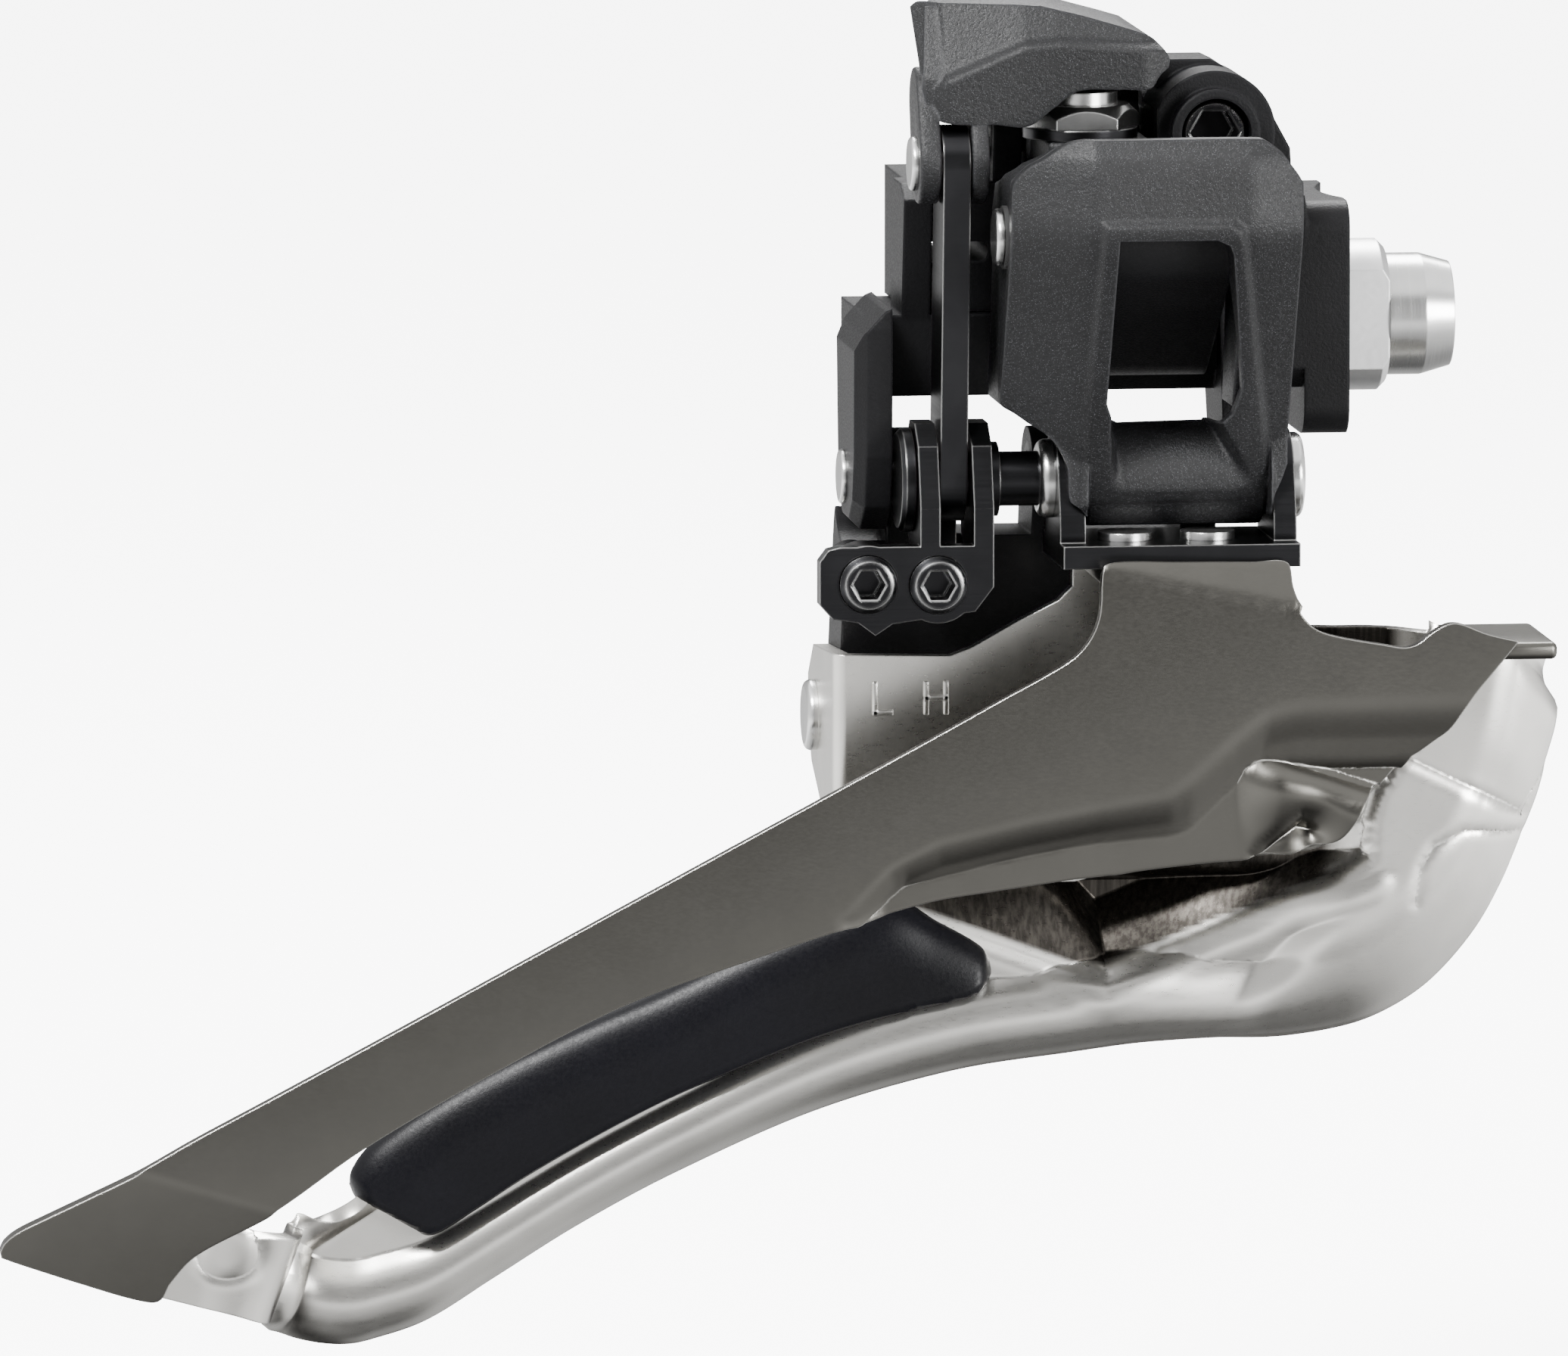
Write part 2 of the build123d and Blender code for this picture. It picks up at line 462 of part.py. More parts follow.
# ---- build ---------------------------------------------------------------------------------------
def main():
    os.makedirs("parts", exist_ok=True)
    save(base_body(), "base_body")
    save(fixing_bolt(), "fixing_bolt")
    save(hanger_washer(), "hanger_washer")
    save(support_bolt(), "support_bolt")
    save(headed_pin(OUTER_TOP, PIN, LINK_LEFT - 0.1, -7.8, 2.0, 0.5), "outer_link_pin")
    save(headed_pin(INNER_TOP, PIN, ARM_LEFT, -6.2, 1.9, 0.4), "inner_link_pin")
    save(headed_pin(LEVER_PIVOT, PIN, -25.2, -13.4, 2.3, 0.6), "lever_pin")
    save(return_spring(), "return_spring")
    save(outer_link(), "outer_link")
    save(outer_link_bushes(), "outer_link_bushes")
    save(cage_axle_bushes(), "cage_axle_bushes")
    save(inner_link(), "inner_link")
    save(inner_link_bushes(), "inner_link_bushes")
    save(toggle_lever(), "toggle_lever")
    save(cable_anchor_bolt(), "cable_anchor_bolt")
    save(cable_clamp_washer(), "cable_clamp_washer")
    save(headed_pin(TOGGLE_TOP, 1.35, -31.8, -26.9, 1.9, 0.5), "toggle_pin")
    save(toggle_rod(), "toggle_rod")
    save(cage_bracket(), "cage_bracket")
    save(web_rivets(), "web_rivets")
    save(cage_axle(), "cage_axle")
    save(axle_end_washer(), "axle_end_washer")
    save(axle_collar(), "axle_collar")
    save(axle_rivet_heads(), "axle_rivet_heads")
    save(limit_screw_plate(), "limit_screw_plate")
    save(limit_screw(LOW_SCREW, LOW_TIP_Y), "low_limit_screw")
    save(limit_screw(HIGH_SCREW, HIGH_TIP_Y), "high_limit_screw")
    save(inner_bracket(), "inner_bracket")
    save(headed_pin(INNER_LOW, 1.8, EAR_LEFT, -19.8, 2.5, 0.8), "inner_link_rivet")
    save(outer_plate(), "outer_plate")
    save(inner_plate(), "inner_plate")
    save(skid_pad(), "skid_pad")
    save(tail_rivet(), "tail_rivet")
    save(bracket_rivets(), "bracket_rivets")


main()
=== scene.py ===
import json
import math

import bpy
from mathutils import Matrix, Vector


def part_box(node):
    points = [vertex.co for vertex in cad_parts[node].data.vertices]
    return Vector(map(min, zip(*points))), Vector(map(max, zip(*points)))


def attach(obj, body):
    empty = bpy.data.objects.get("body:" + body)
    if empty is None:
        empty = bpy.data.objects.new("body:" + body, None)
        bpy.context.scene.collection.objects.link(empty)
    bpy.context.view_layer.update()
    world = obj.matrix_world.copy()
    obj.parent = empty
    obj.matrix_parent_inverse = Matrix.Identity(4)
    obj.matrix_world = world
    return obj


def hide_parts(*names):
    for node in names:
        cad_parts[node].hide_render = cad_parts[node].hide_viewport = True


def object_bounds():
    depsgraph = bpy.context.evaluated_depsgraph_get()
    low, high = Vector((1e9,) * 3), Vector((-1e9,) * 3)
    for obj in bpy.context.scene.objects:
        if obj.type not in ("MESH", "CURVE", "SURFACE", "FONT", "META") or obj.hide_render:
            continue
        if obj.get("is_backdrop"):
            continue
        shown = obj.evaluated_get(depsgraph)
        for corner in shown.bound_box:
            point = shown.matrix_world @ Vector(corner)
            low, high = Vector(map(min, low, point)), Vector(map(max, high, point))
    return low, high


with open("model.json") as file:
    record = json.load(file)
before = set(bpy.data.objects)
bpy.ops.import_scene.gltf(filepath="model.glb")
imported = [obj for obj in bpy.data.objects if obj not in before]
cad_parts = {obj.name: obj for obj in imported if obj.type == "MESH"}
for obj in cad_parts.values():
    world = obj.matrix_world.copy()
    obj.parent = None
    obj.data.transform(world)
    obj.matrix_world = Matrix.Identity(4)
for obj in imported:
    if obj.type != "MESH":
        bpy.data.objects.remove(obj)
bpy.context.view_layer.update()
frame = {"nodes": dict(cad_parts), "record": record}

bl_info = {
    "name": "Front Derailleur Maker",
    "version": (1, 0, 0),
    "blender": (4, 5, 0),
    "location": "View3D > Sidebar > Derailleur",
    "description": "Builds the cage sheets, links and finishes of a front derailleur round its frame",
    "category": "Add Mesh",
}

MM = 0.001

# Directions of the main view, as unit vectors.
VIEW_RIGHT = Vector((0.99253, -0.12187, 0.0))
VIEW_UP = Vector((0.01485, 0.12096, 0.99255))
VIEW_BACK = Vector((-0.12096, -0.98515, 0.12187))

# Light of the surroundings by height, 0 straight down to 1 straight up, and by side, 0 left to 1 right.
ELEVATION_LIGHT = [(0.0, 0.10), (1.0, 0.9), (0.05, 0.04), (0.10, 0.20), (0.17, 0.30), (0.25, 0.34),
                   (0.33, 0.75), (0.40, 0.95), (0.455, 0.15), (0.56, 0.11), (0.68, 0.07), (0.79, 0.12),
                   (0.85, 0.9)]
SIDE_LIGHT = [(0.0, 0.85), (1.0, 0.7), (0.22, 0.45), (0.41, 0.30), (0.48, 0.04), (0.66, 0.0), (0.82, 0.35)]
LAMPS = (("key_light", (-0.22, -0.30, 0.42), 0.16, 7.0),
         ("fill_light", (0.42, -0.46, 0.10), 0.25, 5.0),
         ("rim_light", (0.12, 0.40, 0.45), 0.30, 5.0))

# Camera: its distance and the middle of its view along right, up and back, in metres, then its lens
# and sensor in millimetres.
CAMERA_DISTANCE = 1.514
VIEW_MIDDLE = (-0.03853, -0.02563, 0.020)
LENS = 500
SENSOR_WIDTH = 36
FLOOR_GAP = 0.012
FLOOR_SIZE = 8.0


# ---- properties ----------------------------------------------------------------------------------
class CageSizes(bpy.types.PropertyGroup):
    """Sizes of the cage sheets, in millimetres."""

    sheet: bpy.props.FloatProperty(name="Sheet", description="Thickness of the cage sheets", default=1.2)
    outer_face: bpy.props.FloatProperty(
        name="Outer face", description="Depth of the outer plate's outboard face",
        default=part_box("outer_plate")[0].y / MM)
    inner_face: bpy.props.FloatProperty(
        name="Inner face", description="Depth of the inner plate's outboard face",
        default=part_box("skid_pad")[1].y / MM)
    rebate: bpy.props.FloatProperty(
        name="Rebate", description="Depth of the pressed step along the outer plate", default=0.85)
    bead: bpy.props.FloatProperty(
        name="Bead", description="Height of the rolled bead along the inner plate's rim", default=1.25)
    bead_width: bpy.props.FloatProperty(
        name="Bead width", description="Width of the rolled bead", default=5.0)
    pocket: bpy.props.FloatProperty(
        name="Pocket", description="Depth of the pressed pocket in the inner plate", default=4.2)
    tail_fold: bpy.props.FloatProperty(
        name="Tail fold", description="Angle by which the tail turns inboard", default=math.radians(9.0),
        subtype="ANGLE")
    pad: bpy.props.FloatProperty(name="Pad", description="Thickness of the skid pad", default=2.5)


class FinishColours(bpy.types.PropertyGroup):
    """Base colours of the finishes."""

    dark_nickel: bpy.props.FloatVectorProperty(
        name="Dark nickel", description="Outer plate", default=(0.120, 0.116, 0.105), subtype="COLOR")
    nickel: bpy.props.FloatVectorProperty(
        name="Nickel", description="Inner plate and bracket", default=(0.80, 0.785, 0.745), subtype="COLOR")
    cast_black: bpy.props.FloatVectorProperty(
        name="Cast black", description="Base and inner link", default=(0.004, 0.004, 0.0045),
        subtype="COLOR")
    link_grey: bpy.props.FloatVectorProperty(
        name="Link grey", description="Outer link and lever", default=(0.0050, 0.0051, 0.0056),
        subtype="COLOR")
    resin: bpy.props.FloatVectorProperty(
        name="Resin", description="Skid pad", default=(0.0016, 0.0016, 0.0028), subtype="COLOR")
    black_steel: bpy.props.FloatVectorProperty(
        name="Black steel", description="Rod, ears and screws", default=(0.030, 0.030, 0.032),
        subtype="COLOR")
    steel: bpy.props.FloatVectorProperty(
        name="Steel", description="Bolts and rivets", default=(0.70, 0.70, 0.69), subtype="COLOR")
    alloy: bpy.props.FloatVectorProperty(
        name="Alloy", description="Hanger washer", default=(0.80, 0.80, 0.80), subtype="COLOR")


# ---- outlines and forms, in millimetres ----------------------------------------------------------
# Each row is one station across a sheet: the point on its upper edge, then the one on its lower edge.
OUTER_STATIONS = [
    (9.6, -20.4, 9.2, -20.9), (7.5, -19.9, 7.5, -22.9), (5.5, -19.15, 5.8, -24.9), (4.5, -19.2, 4.7, -26.3),
    (3.3, -19.9, 3.1, -27.6), (2.6, -20.45, 1.7, -28.55), (1.6, -20.75, 0.6, -29.75),
    (0.0, -20.5, -0.6, -31.2), (-1.5, -20.25, -1.6, -32.5), (-3.0, -19.95, -2.5, -33.85),
    (-4.2, -19.6, -3.5, -34.6), (-5.0, -19.1, -4.7, -35.05), (-5.8, -18.1, -6.4, -35.2),
    (-6.2, -17.0, -8.0, -35.4), (-6.5, -15.4, -9.4, -35.5), (-9.0, -15.3, -12.0, -35.65),
    (-14.0, -15.2, -16.5, -36.1), (-19.3, -15.2, -18.5, -36.4), (-19.55, -16.0, -19.0, -36.42),
    (-19.6, -17.2, -19.5, -36.47), (-19.75, -18.4, -20.3, -36.55), (-20.3, -19.8, -21.8, -36.7),
    (-21.4, -21.1, -24.0, -37.0), (-23.3, -22.3, -27.3, -37.45), (-26.5, -24.0, -31.3, -38.05),
    (-30.0, -25.9, -36.0, -39.3), (-39.2, -30.8, -44.0, -41.8), (-50.0, -36.5, -53.0, -44.9),
    (-60.0, -41.8, -62.0, -49.4), (-70.0, -47.1, -71.0, -54.5), (-78.0, -51.3, -77.4, -58.9),
    (-83.0, -53.9, -82.6, -61.7), (-86.8, -56.0, -84.4, -63.6), (-90.5, -57.8, -85.3, -65.0),
    (-93.0, -59.0, -87.0, -64.85), (-95.0, -60.0, -91.0, -63.6), (-96.0, -60.8, -95.0, -62.25),
    (-96.3, -61.4, -96.2, -61.8)]

# The last number of an inner station says how far its sheet has turned outboard, where FULL_TURN
# takes it right across the gap to the outer plate.
FULL_TURN = 10.0
INNER_STATIONS = [
    (12.9, -21.6, 13.0, -22.3, 0), (11.5, -21.4, 12.4, -24.4, 0), (10.0, -21.2, 12.8, -26.2, 0),
    (8.5, -21.0, 13.6, -27.4, 0), (6.5, -20.9, 12.9, -30.4, 0), (4.5, -20.8, 12.2, -33.0, 0),
    (2.5, -20.7, 11.0, -36.0, 0), (0.5, -20.6, 9.6, -39.3, 0), (-1.5, -20.6, 7.8, -42.3, 0),
    (-3.5, -20.6, 5.1, -45.3, 0), (-5.5, -20.9, 2.5, -47.1, 0), (-8.0, -22.0, -0.5, -48.3, 0),
    (-11.0, -24.0, -5.0, -48.9, 0), (-15.0, -26.8, -10.0, -48.8, 0), (-19.0, -30.4, -15.0, -49.0, 0),
    (-23.0, -33.4, -20.0, -49.6, 0), (-29.0, -36.5, -28.6, -50.8, 0), (-36.0, -39.6, -38.6, -53.5, 0),
    (-43.0, -43.2, -48.6, -57.7, 0), (-50.0, -46.6, -55.5, -61.3, 0), (-57.0, -50.2, -61.5, -65.0, 0),
    (-63.0, -53.5, -66.0, -67.8, 0), (-67.8, -56.6, -69.4, -69.0, 0), (-70.6, -59.6, -71.6, -69.4, 0),
    (-73.2, -60.9, -74.4, -69.0, 0), (-74.9, -61.2, -77.0, -67.9, 0.6), (-75.6, -61.2, -78.0, -67.4, 2.6),
    (-76.0, -61.0, -78.3, -67.2, 6.6), (-76.6, -60.9, -78.7, -66.9, 9.0),
    (-78.4, -60.6, -80.0, -66.3, 10.0), (-82.0, -60.4, -82.6, -65.6, 10.0),
    (-86.0, -61.0, -85.2, -64.9, 10.0)]

PAD_STATIONS = [
    (-26.3, -43.9, -26.3, -44.7), (-27.0, -42.9, -27.3, -45.8), (-30.0, -41.2, -30.6, -46.6),
    (-33.4, -39.3, -34.4, -47.5), (-37.0, -40.4, -38.9, -48.8), (-42.0, -42.4, -43.9, -50.7),
    (-48.9, -45.7, -48.9, -52.8), (-54.0, -47.8, -53.9, -55.3), (-58.9, -50.0, -58.9, -58.1),
    (-63.0, -52.1, -62.5, -60.4), (-66.8, -54.4, -65.2, -62.0), (-69.3, -56.3, -66.2, -61.6),
    (-70.4, -57.8, -68.4, -60.3), (-70.5, -58.6, -70.2, -59.4)]

# Outer plate: the pressed step lies between its shoulder and its crease, from REBATE_LEFT on.
SHOULDER = [(-37.6, -39.3), (-34.5, -36.2), (-31.0, -34.3), (-25.0, -33.0), (-18.9, -31.9), (-15.0, -31.2),
            (-12.8, -29.3), (-10.3, -27.0), (-7.9, -25.2), (-5.5, -24.6), (3.1, -24.5), (12.0, -24.4)]
CREASE = [(-37.0, -39.6), (-33.6, -36.8), (-25.0, -34.8), (-20.1, -34.0), (-14.7, -33.6), (-13.5, -33.2),
          (-11.3, -31.1), (-9.4, -29.5), (-8.4, -28.7), (-6.4, -28.3), (1.6, -28.3), (12.0, -28.3)]
SHOULDER_RISE = 0.9
REBATE_LEFT = -38.5
REBATE_FADE = 4.0
CUP_LINE = [(-96, -62), (-20, -29), (10, -22)]
CUP = 0.0035
NECK_FACET = ((-19.6, -15.4), (-6.2, -18.2))
NECK_LOW = -18.2
NECK_LEAN = 0.47
TAIL_FOLD = ((-86.5, -56.0), (-77.6, -58.8))

# Hook of the outer plate: a dome under a ledge, with a slit and a dimple.
HOOK_LEFT = -10.2
HOOK_FADE = 3.4
HOOK_LEDGE = ((-8.6, -28.5), (-0.6, -31.1))
HOOK_DOME = 1.15
HOOK_FACET = 0.35
HOOK_SLIT = ((-9.4, -35.2), (-5.5, -31.3))
SLIT_DEPTH = 0.9
HOOK_DIMPLE = (-4.9, -33.3)
DIMPLE_DEPTH = 1.8
DIMPLE_WIDTH = 1.4

# Inner plate: the pocket's V-shaped edge, its facet, its (Z, X) rim in front and its ledge.
POCKET_LEFT = ((-32.1, -40.2), (-17.9, -45.5))
POCKET_RIGHT = ((-17.9, -45.5), (0.3, -38.1))
POCKET_FACET = ((-17.9, -45.5), (-21.4, -40.4))
POCKET_EDGE = [(-32.1, -40.2), (-17.9, -45.5), (0.3, -38.1)]
POCKET_RIM = [(-50.0, 0.6), (-37.8, 0.6), (-36.2, 0.9), (-34.2, 0.8), (-32.1, 1.5), (-29.6, 3.2),
              (-27.0, 5.5)]
POCKET_START = -34
RIM_WIDTH = 3.5
LIP_DEPTH = 1.8
LEDGE_Z = -37.9
LEDGE_WIDTH = 1.4
GROOVE = ((3.0, -29.7), (11.0, -33.7))
ARC_CREASE = [(10.7, -34.9), (7.0, -34.7), (5.0, -35.9), (4.1, -37.5), (3.6, -39.7)]
FRONT_CREASE = ((0.6, -39.5), (-6.8, -47.9))
FRONT_CREASE_TOP = -39.0

# Tail of the inner plate: its strut, the painted shadow beside it, and the rivet's ring as X, Z and radius.
TAIL_RIDGE = [(-69.6, -58.6), (-73.2, -60.9), (-75.3, -62.0), (-75.9, -64.2), (-76.7, -66.9)]
TAIL_SHADOW = [(-70.1, -60.1), (-73.9, -61.8), (-74.9, -65.5), (-74.6, -68.0), (-72.1, -69.2)]
TAIL_RIVET = (-80.5, -61.7, 2.0)
TAIL_START = -60

# Outer link: its front, (Z, Y) profile, side folds as X, setback and width, raised frame, the rails'
# X at top and bottom, the window and the (Y, Z) outline of a wall.
LINK_STATIONS = [
    (-26.1, 11.4, -26.1, -3.8), (-25.9, 12.2, -25.9, -4.1), (-25.0, 13.2, -25.2, -4.5),
    (-24.0, 13.8, -24.2, -5.2), (-22.9, 14.6, -23.1, -5.9), (-22.1, 15.0, -22.2, -6.8),
    (-21.5, 15.15, -21.5, -8.2), (-21.0, 15.2, -21.3, -10.6), (-20.2, 15.2, -20.6, -11.2),
    (-19.4, 15.2, -19.5, -12.3), (-18.0, 15.2, -18.0, -12.6), (-9.2, 15.2, -9.4, -12.6),
    (-8.4, 14.9, -7.9, -12.5), (-7.6, 14.3, -7.2, -12.0), (-7.0, 13.5, -7.0, -10.6),
    (-6.4, 12.7, -6.4, -9.2), (-6.05, 12.1, -6.05, -8.2)]
LINK_PROFILE = [(-12.9, -16.6), (-12.3, -17.9), (-10.6, -19.1), (-8.0, -20.4), (8.3, -28.6), (9.2, -28.8),
                (13.4, -28.5), (14.7, -28.1), (15.2, -27.5)]
LINK_SIDES = ((-20.8, 3.2, 5.5), (-9.6, 1.0, 3.6))
LINK_FRAME = [(-20.3, 9.7), (-20.9, -11.4), (-6.9, -11.2), (-6.9, -9.3), (-10.2, 9.1), (-11.0, 9.7)]
LINK_RAILS = ((-18.7, -18.5), (-11.6, -7.3))
LINK_WINDOW = [
    (-19.0, 8.3), (-12.2, 8.3), (-11.3, 7.9), (-11.0, 7.2), (-9.7, -2.6), (-10.2, -4.4), (-11.4, -5.6),
    (-17.4, -5.7), (-18.5, -5.2), (-19.1, -3.6)]
LINK_WALL = [(-26.6, 14.6), (-27.2, 13.6), (-27.4, 8.8), (-21.3, -3.2), (-20.9, -4.2), (-15.6, -4.2),
             (-17.6, 5.0), (-17.8, 9.4), (-19.2, 11.2), (-22.4, 11.8), (-24.8, 12.8)]

# Toggle lever: front outline of its cap, the ridge across it, its plan (X, Y) and its side (Y, Z).
CAP_STATIONS = [
    (-31.9, 23.5, -31.2, 16.5), (-31.4, 23.9, -30.6, 15.95), (-30.0, 23.9, -29.2, 15.65),
    (-27.0, 23.85, -26.5, 15.6), (-23.4, 23.7, -24.2, 15.45), (-20.0, 22.9, -22.4, 16.7),
    (-17.2, 22.1, -20.6, 17.9), (-15.6, 21.6, -17.6, 17.95), (-14.7, 20.8, -15.6, 18.0),
    (-14.3, 20.2, -14.9, 18.9), (-14.2, 19.9, -14.3, 19.4)]
CAP_RIDGE = [(-32.0, 17.6), (-30.0, 18.4), (-24.4, 20.8), (-22.0, 21.0), (-14.0, 20.4)]
CAP_PLAN = [(-31.6, -20.0), (-12.0, -20.0), (-12.0, -2.0), (-28.4, -2.0)]
CAP_SIDE = [(-18.9, 15.4), (-19.3, 18.6), (-16.9, 23.6), (-5.4, 23.8), (-2.6, 21.0), (-2.6, 15.4)]

# Strokes of the screw marks L and H as left, right, low and high.
MARK_STROKES = [(-34.3, -33.9, -26.3, -23.9), (-34.3, -32.8, -26.3, -25.9), (-30.7, -30.3, -26.3, -23.9),
                (-29.3, -28.9, -26.3, -23.9), (-30.7, -28.9, -25.3, -24.9)]

# Pivots as (Y, Z), and the cable bolt as (X, Y).
LINK_TOP = (-22.0, 8.0)
LINK_LOW = (-16.0, -9.5)
LEVER_PIVOT = (-6.0, 14.0)
TOGGLE_TOP = (-18.0, 12.8)
ANCHOR = (-19.9, -14.9)


# ---- geometry helpers ----------------------------------------------------------------------------
def spline(rows, count):
    """Evenly spaced points of a smooth curve through rows of numbers of any length."""
    lengths = [math.dist(a, b) for a, b in zip(rows, rows[1:])]
    total = sum(lengths)
    points = []
    for step in range(count):
        goal = total * step / (count - 1)
        index = 0
        while index < len(lengths) - 1 and goal > lengths[index]:
            goal -= lengths[index]
            index += 1
        t = min(goal / lengths[index], 1.0)
        before = rows[max(index - 1, 0)]
        start = rows[index]
        end = rows[index + 1]
        after = rows[min(index + 2, len(rows) - 1)]
        span = lengths[index]
        span_before = lengths[index - 1] if index else span
        span_after = lengths[index + 1] if index + 1 < len(lengths) else span
        point = []
        for p0, p1, p2, p3 in zip(before, start, end, after):
            slope1 = (p2 - p0) / (span_before + span) * span
            slope2 = (p3 - p1) / (span + span_after) * span
            a = 2 * p1 - 2 * p2 + slope1 + slope2
            b = -3 * p1 + 3 * p2 - 2 * slope1 - slope2
            point.append(a * t ** 3 + b * t ** 2 + slope1 * t + p1)
        points.append(tuple(point))
    return points


def height_at(line, x):
    """Second coordinate of a polyline at a place along its first."""
    if x <= line[0][0]:
        return line[0][1]
    for (x0, z0), (x1, z1) in zip(line, line[1:]):
        if x <= x1:
            return z0 + (z1 - z0) * (x - x0) / (x1 - x0)
    return line[-1][1]


def smooth(t):
    """Soft step from 0 to 1."""
    t = min(max(t, 0.0), 1.0)
    return t * t * (3 - 2 * t)


def side(line, x, z):
    """Signed distance from a straight line, positive on its left."""
    (x0, z0), (x1, z1) = line
    return ((x1 - x0) * (z - z0) - (z1 - z0) * (x - x0)) / math.hypot(x1 - x0, z1 - z0)


def along(line, x, z):
    """Place along a straight line, 0 at its start and 1 at its end."""
    (x0, z0), (x1, z1) = line
    return ((x - x0) * (x1 - x0) + (z - z0) * (z1 - z0)) / ((x1 - x0) ** 2 + (z1 - z0) ** 2)


def near(path, x, z):
    """Distance from a polyline."""
    best = 1e9
    for first, second in zip(path, path[1:]):
        t = min(max(along((first, second), x, z), 0.0), 1.0)
        gap = math.hypot(x - first[0] - t * (second[0] - first[0]), z - first[1] - t * (second[1] - first[1]))
        best = min(best, gap)
    return best


def bump(distance, width):
    """Rounded ridge of height 1."""
    return math.exp(-(distance / width) ** 2)


def deselect():
    """Leaves nothing selected."""
    if bpy.context.object and bpy.context.object.mode != "OBJECT":
        bpy.ops.object.mode_set(mode="OBJECT")
    bpy.ops.object.select_all(action="DESELECT")


def named(name):
    """Names the primitive that was just added."""
    made = bpy.context.object
    made.name = name
    made.data.name = name
    return made


def settle(piece):
    """Puts a piece's place into its mesh."""
    pick(piece)
    bpy.ops.object.transform_apply(location=True, rotation=True, scale=True)


def pick(piece):
    """Makes a piece the only selected one and the active one."""
    deselect()
    piece.select_set(True)
    bpy.context.view_layer.objects.active = piece


def modify(piece, kind, **settings):
    """Adds a modifier and applies it."""
    pick(piece)
    modifier = piece.modifiers.new(kind.title(), kind)
    for key, value in settings.items():
        setattr(modifier, key, value)
    bpy.ops.object.modifier_apply(modifier=modifier.name)


def soften(piece, angle=35.0):
    """Smooth shading, with edges sharper than an angle kept."""
    pick(piece)
    bpy.ops.object.shade_smooth_by_angle(angle=math.radians(angle))


def join(pieces):
    """Joins pieces into the first one."""
    deselect()
    for piece in pieces:
        piece.select_set(True)
    bpy.context.view_layer.objects.active = pieces[0]
    bpy.ops.object.join()
    return pieces[0]


def sheet_between(name, stations, columns, rows, place, shade=None):
    """Sheet of quads between two edges. place gives each vertex's depth in millimetres, shade how much
    painted shade it gets.
    """
    deselect()
    bpy.ops.mesh.primitive_grid_add(x_subdivisions=columns, y_subdivisions=rows, size=1)
    piece = named(name)
    ribs = spline(stations, columns + 1)
    # Per-vertex amount of painted shade, read by the material.
    painted_shade = piece.data.attributes.new("painted_shade", "FLOAT", "POINT")
    for vertex in piece.data.vertices:
        u = round((vertex.co.x + 0.5) * columns)
        v = vertex.co.y + 0.5
        row = ribs[u]
        upper = Vector((row[0], 0, row[1]))
        lower = Vector((row[2], 0, row[3]))
        spot = lower.lerp(upper, v)
        width = (upper - lower).length
        extra = row[4] if len(row) > 4 else 0.0
        depth = place(spot.x, spot.z, u / columns, v, width, extra)
        painted_shade.data[vertex.index].value = shade(spot.x, spot.z, extra) if shade else 0.0
        vertex.co = (spot.x * MM, depth * MM, spot.z * MM)
    piece.data.update()
    return piece


def turn_outward(piece):
    """Merges doubles and makes every face look outwards."""
    pick(piece)
    bpy.ops.object.mode_set(mode="EDIT")
    bpy.ops.mesh.select_all(action="SELECT")
    bpy.ops.mesh.remove_doubles(threshold=0.000001)
    bpy.ops.mesh.normals_make_consistent(inside=False)
    bpy.ops.object.mode_set(mode="OBJECT")


def give_thickness(piece, thickness, edge, segments):
    """Turns a surface into a sheet with rounded edges."""
    modify(piece, "SOLIDIFY", thickness=thickness * MM, offset=-1.0, use_even_offset=False)
    turn_outward(piece)
    modify(piece, "BEVEL", width=edge * MM, segments=segments, limit_method="ANGLE",
           angle_limit=math.radians(50))


def thicken(piece, amount):
    """Makes a sheet solid by sweeping it inboard, in millimetres."""
    pick(piece)
    bpy.ops.object.mode_set(mode="EDIT")
    bpy.ops.mesh.select_all(action="SELECT")
    bpy.ops.mesh.extrude_region_move(TRANSFORM_OT_translate={"value": (0, amount * MM, 0)})
    bpy.ops.object.mode_set(mode="OBJECT")
    turn_outward(piece)


def bevelled_block(name, low, high, width, segments=3):
    """Block with rounded edges between two corners, in millimetres."""
    deselect()
    middle = [(a + b) / 2 * MM for a, b in zip(low, high)]
    size = [(b - a) * MM for a, b in zip(low, high)]
    bpy.ops.mesh.primitive_cube_add(size=1, location=middle, scale=size)
    piece = named(name)
    settle(piece)
    modify(piece, "BEVEL", width=width * MM, segments=segments, limit_method="NONE")
    return piece


def prism(name, outline, run):
    """Solid swept from a flat outline of 3-D points along a vector, in millimetres."""
    deselect()
    bpy.ops.mesh.primitive_circle_add(vertices=len(outline), radius=0.001, fill_type="NGON")
    piece = named(name)
    for vertex, point in zip(piece.data.vertices, outline):
        vertex.co = Vector(point) * MM
    piece.data.update()
    bpy.ops.object.mode_set(mode="EDIT")
    bpy.ops.mesh.select_all(action="SELECT")
    bpy.ops.mesh.extrude_region_move(TRANSFORM_OT_translate={"value": Vector(run) * MM})
    bpy.ops.object.mode_set(mode="OBJECT")
    turn_outward(piece)
    return piece


def silhouette(name, stations, y_low, depth):
    """Prism of a sheet's whole outline, from y_low inboard."""
    outline = [row[:2] for row in stations] + [row[2:4] for row in reversed(stations)]
    return prism(name, [(x, y_low, z) for x, z in outline], (0, depth, 0))


def across(outline, x_low, x_high):
    """Prism of a (Y, Z) outline between two places along X."""
    return prism("prism", [(x_low, y, z) for y, z in outline], (x_high - x_low, 0, 0))


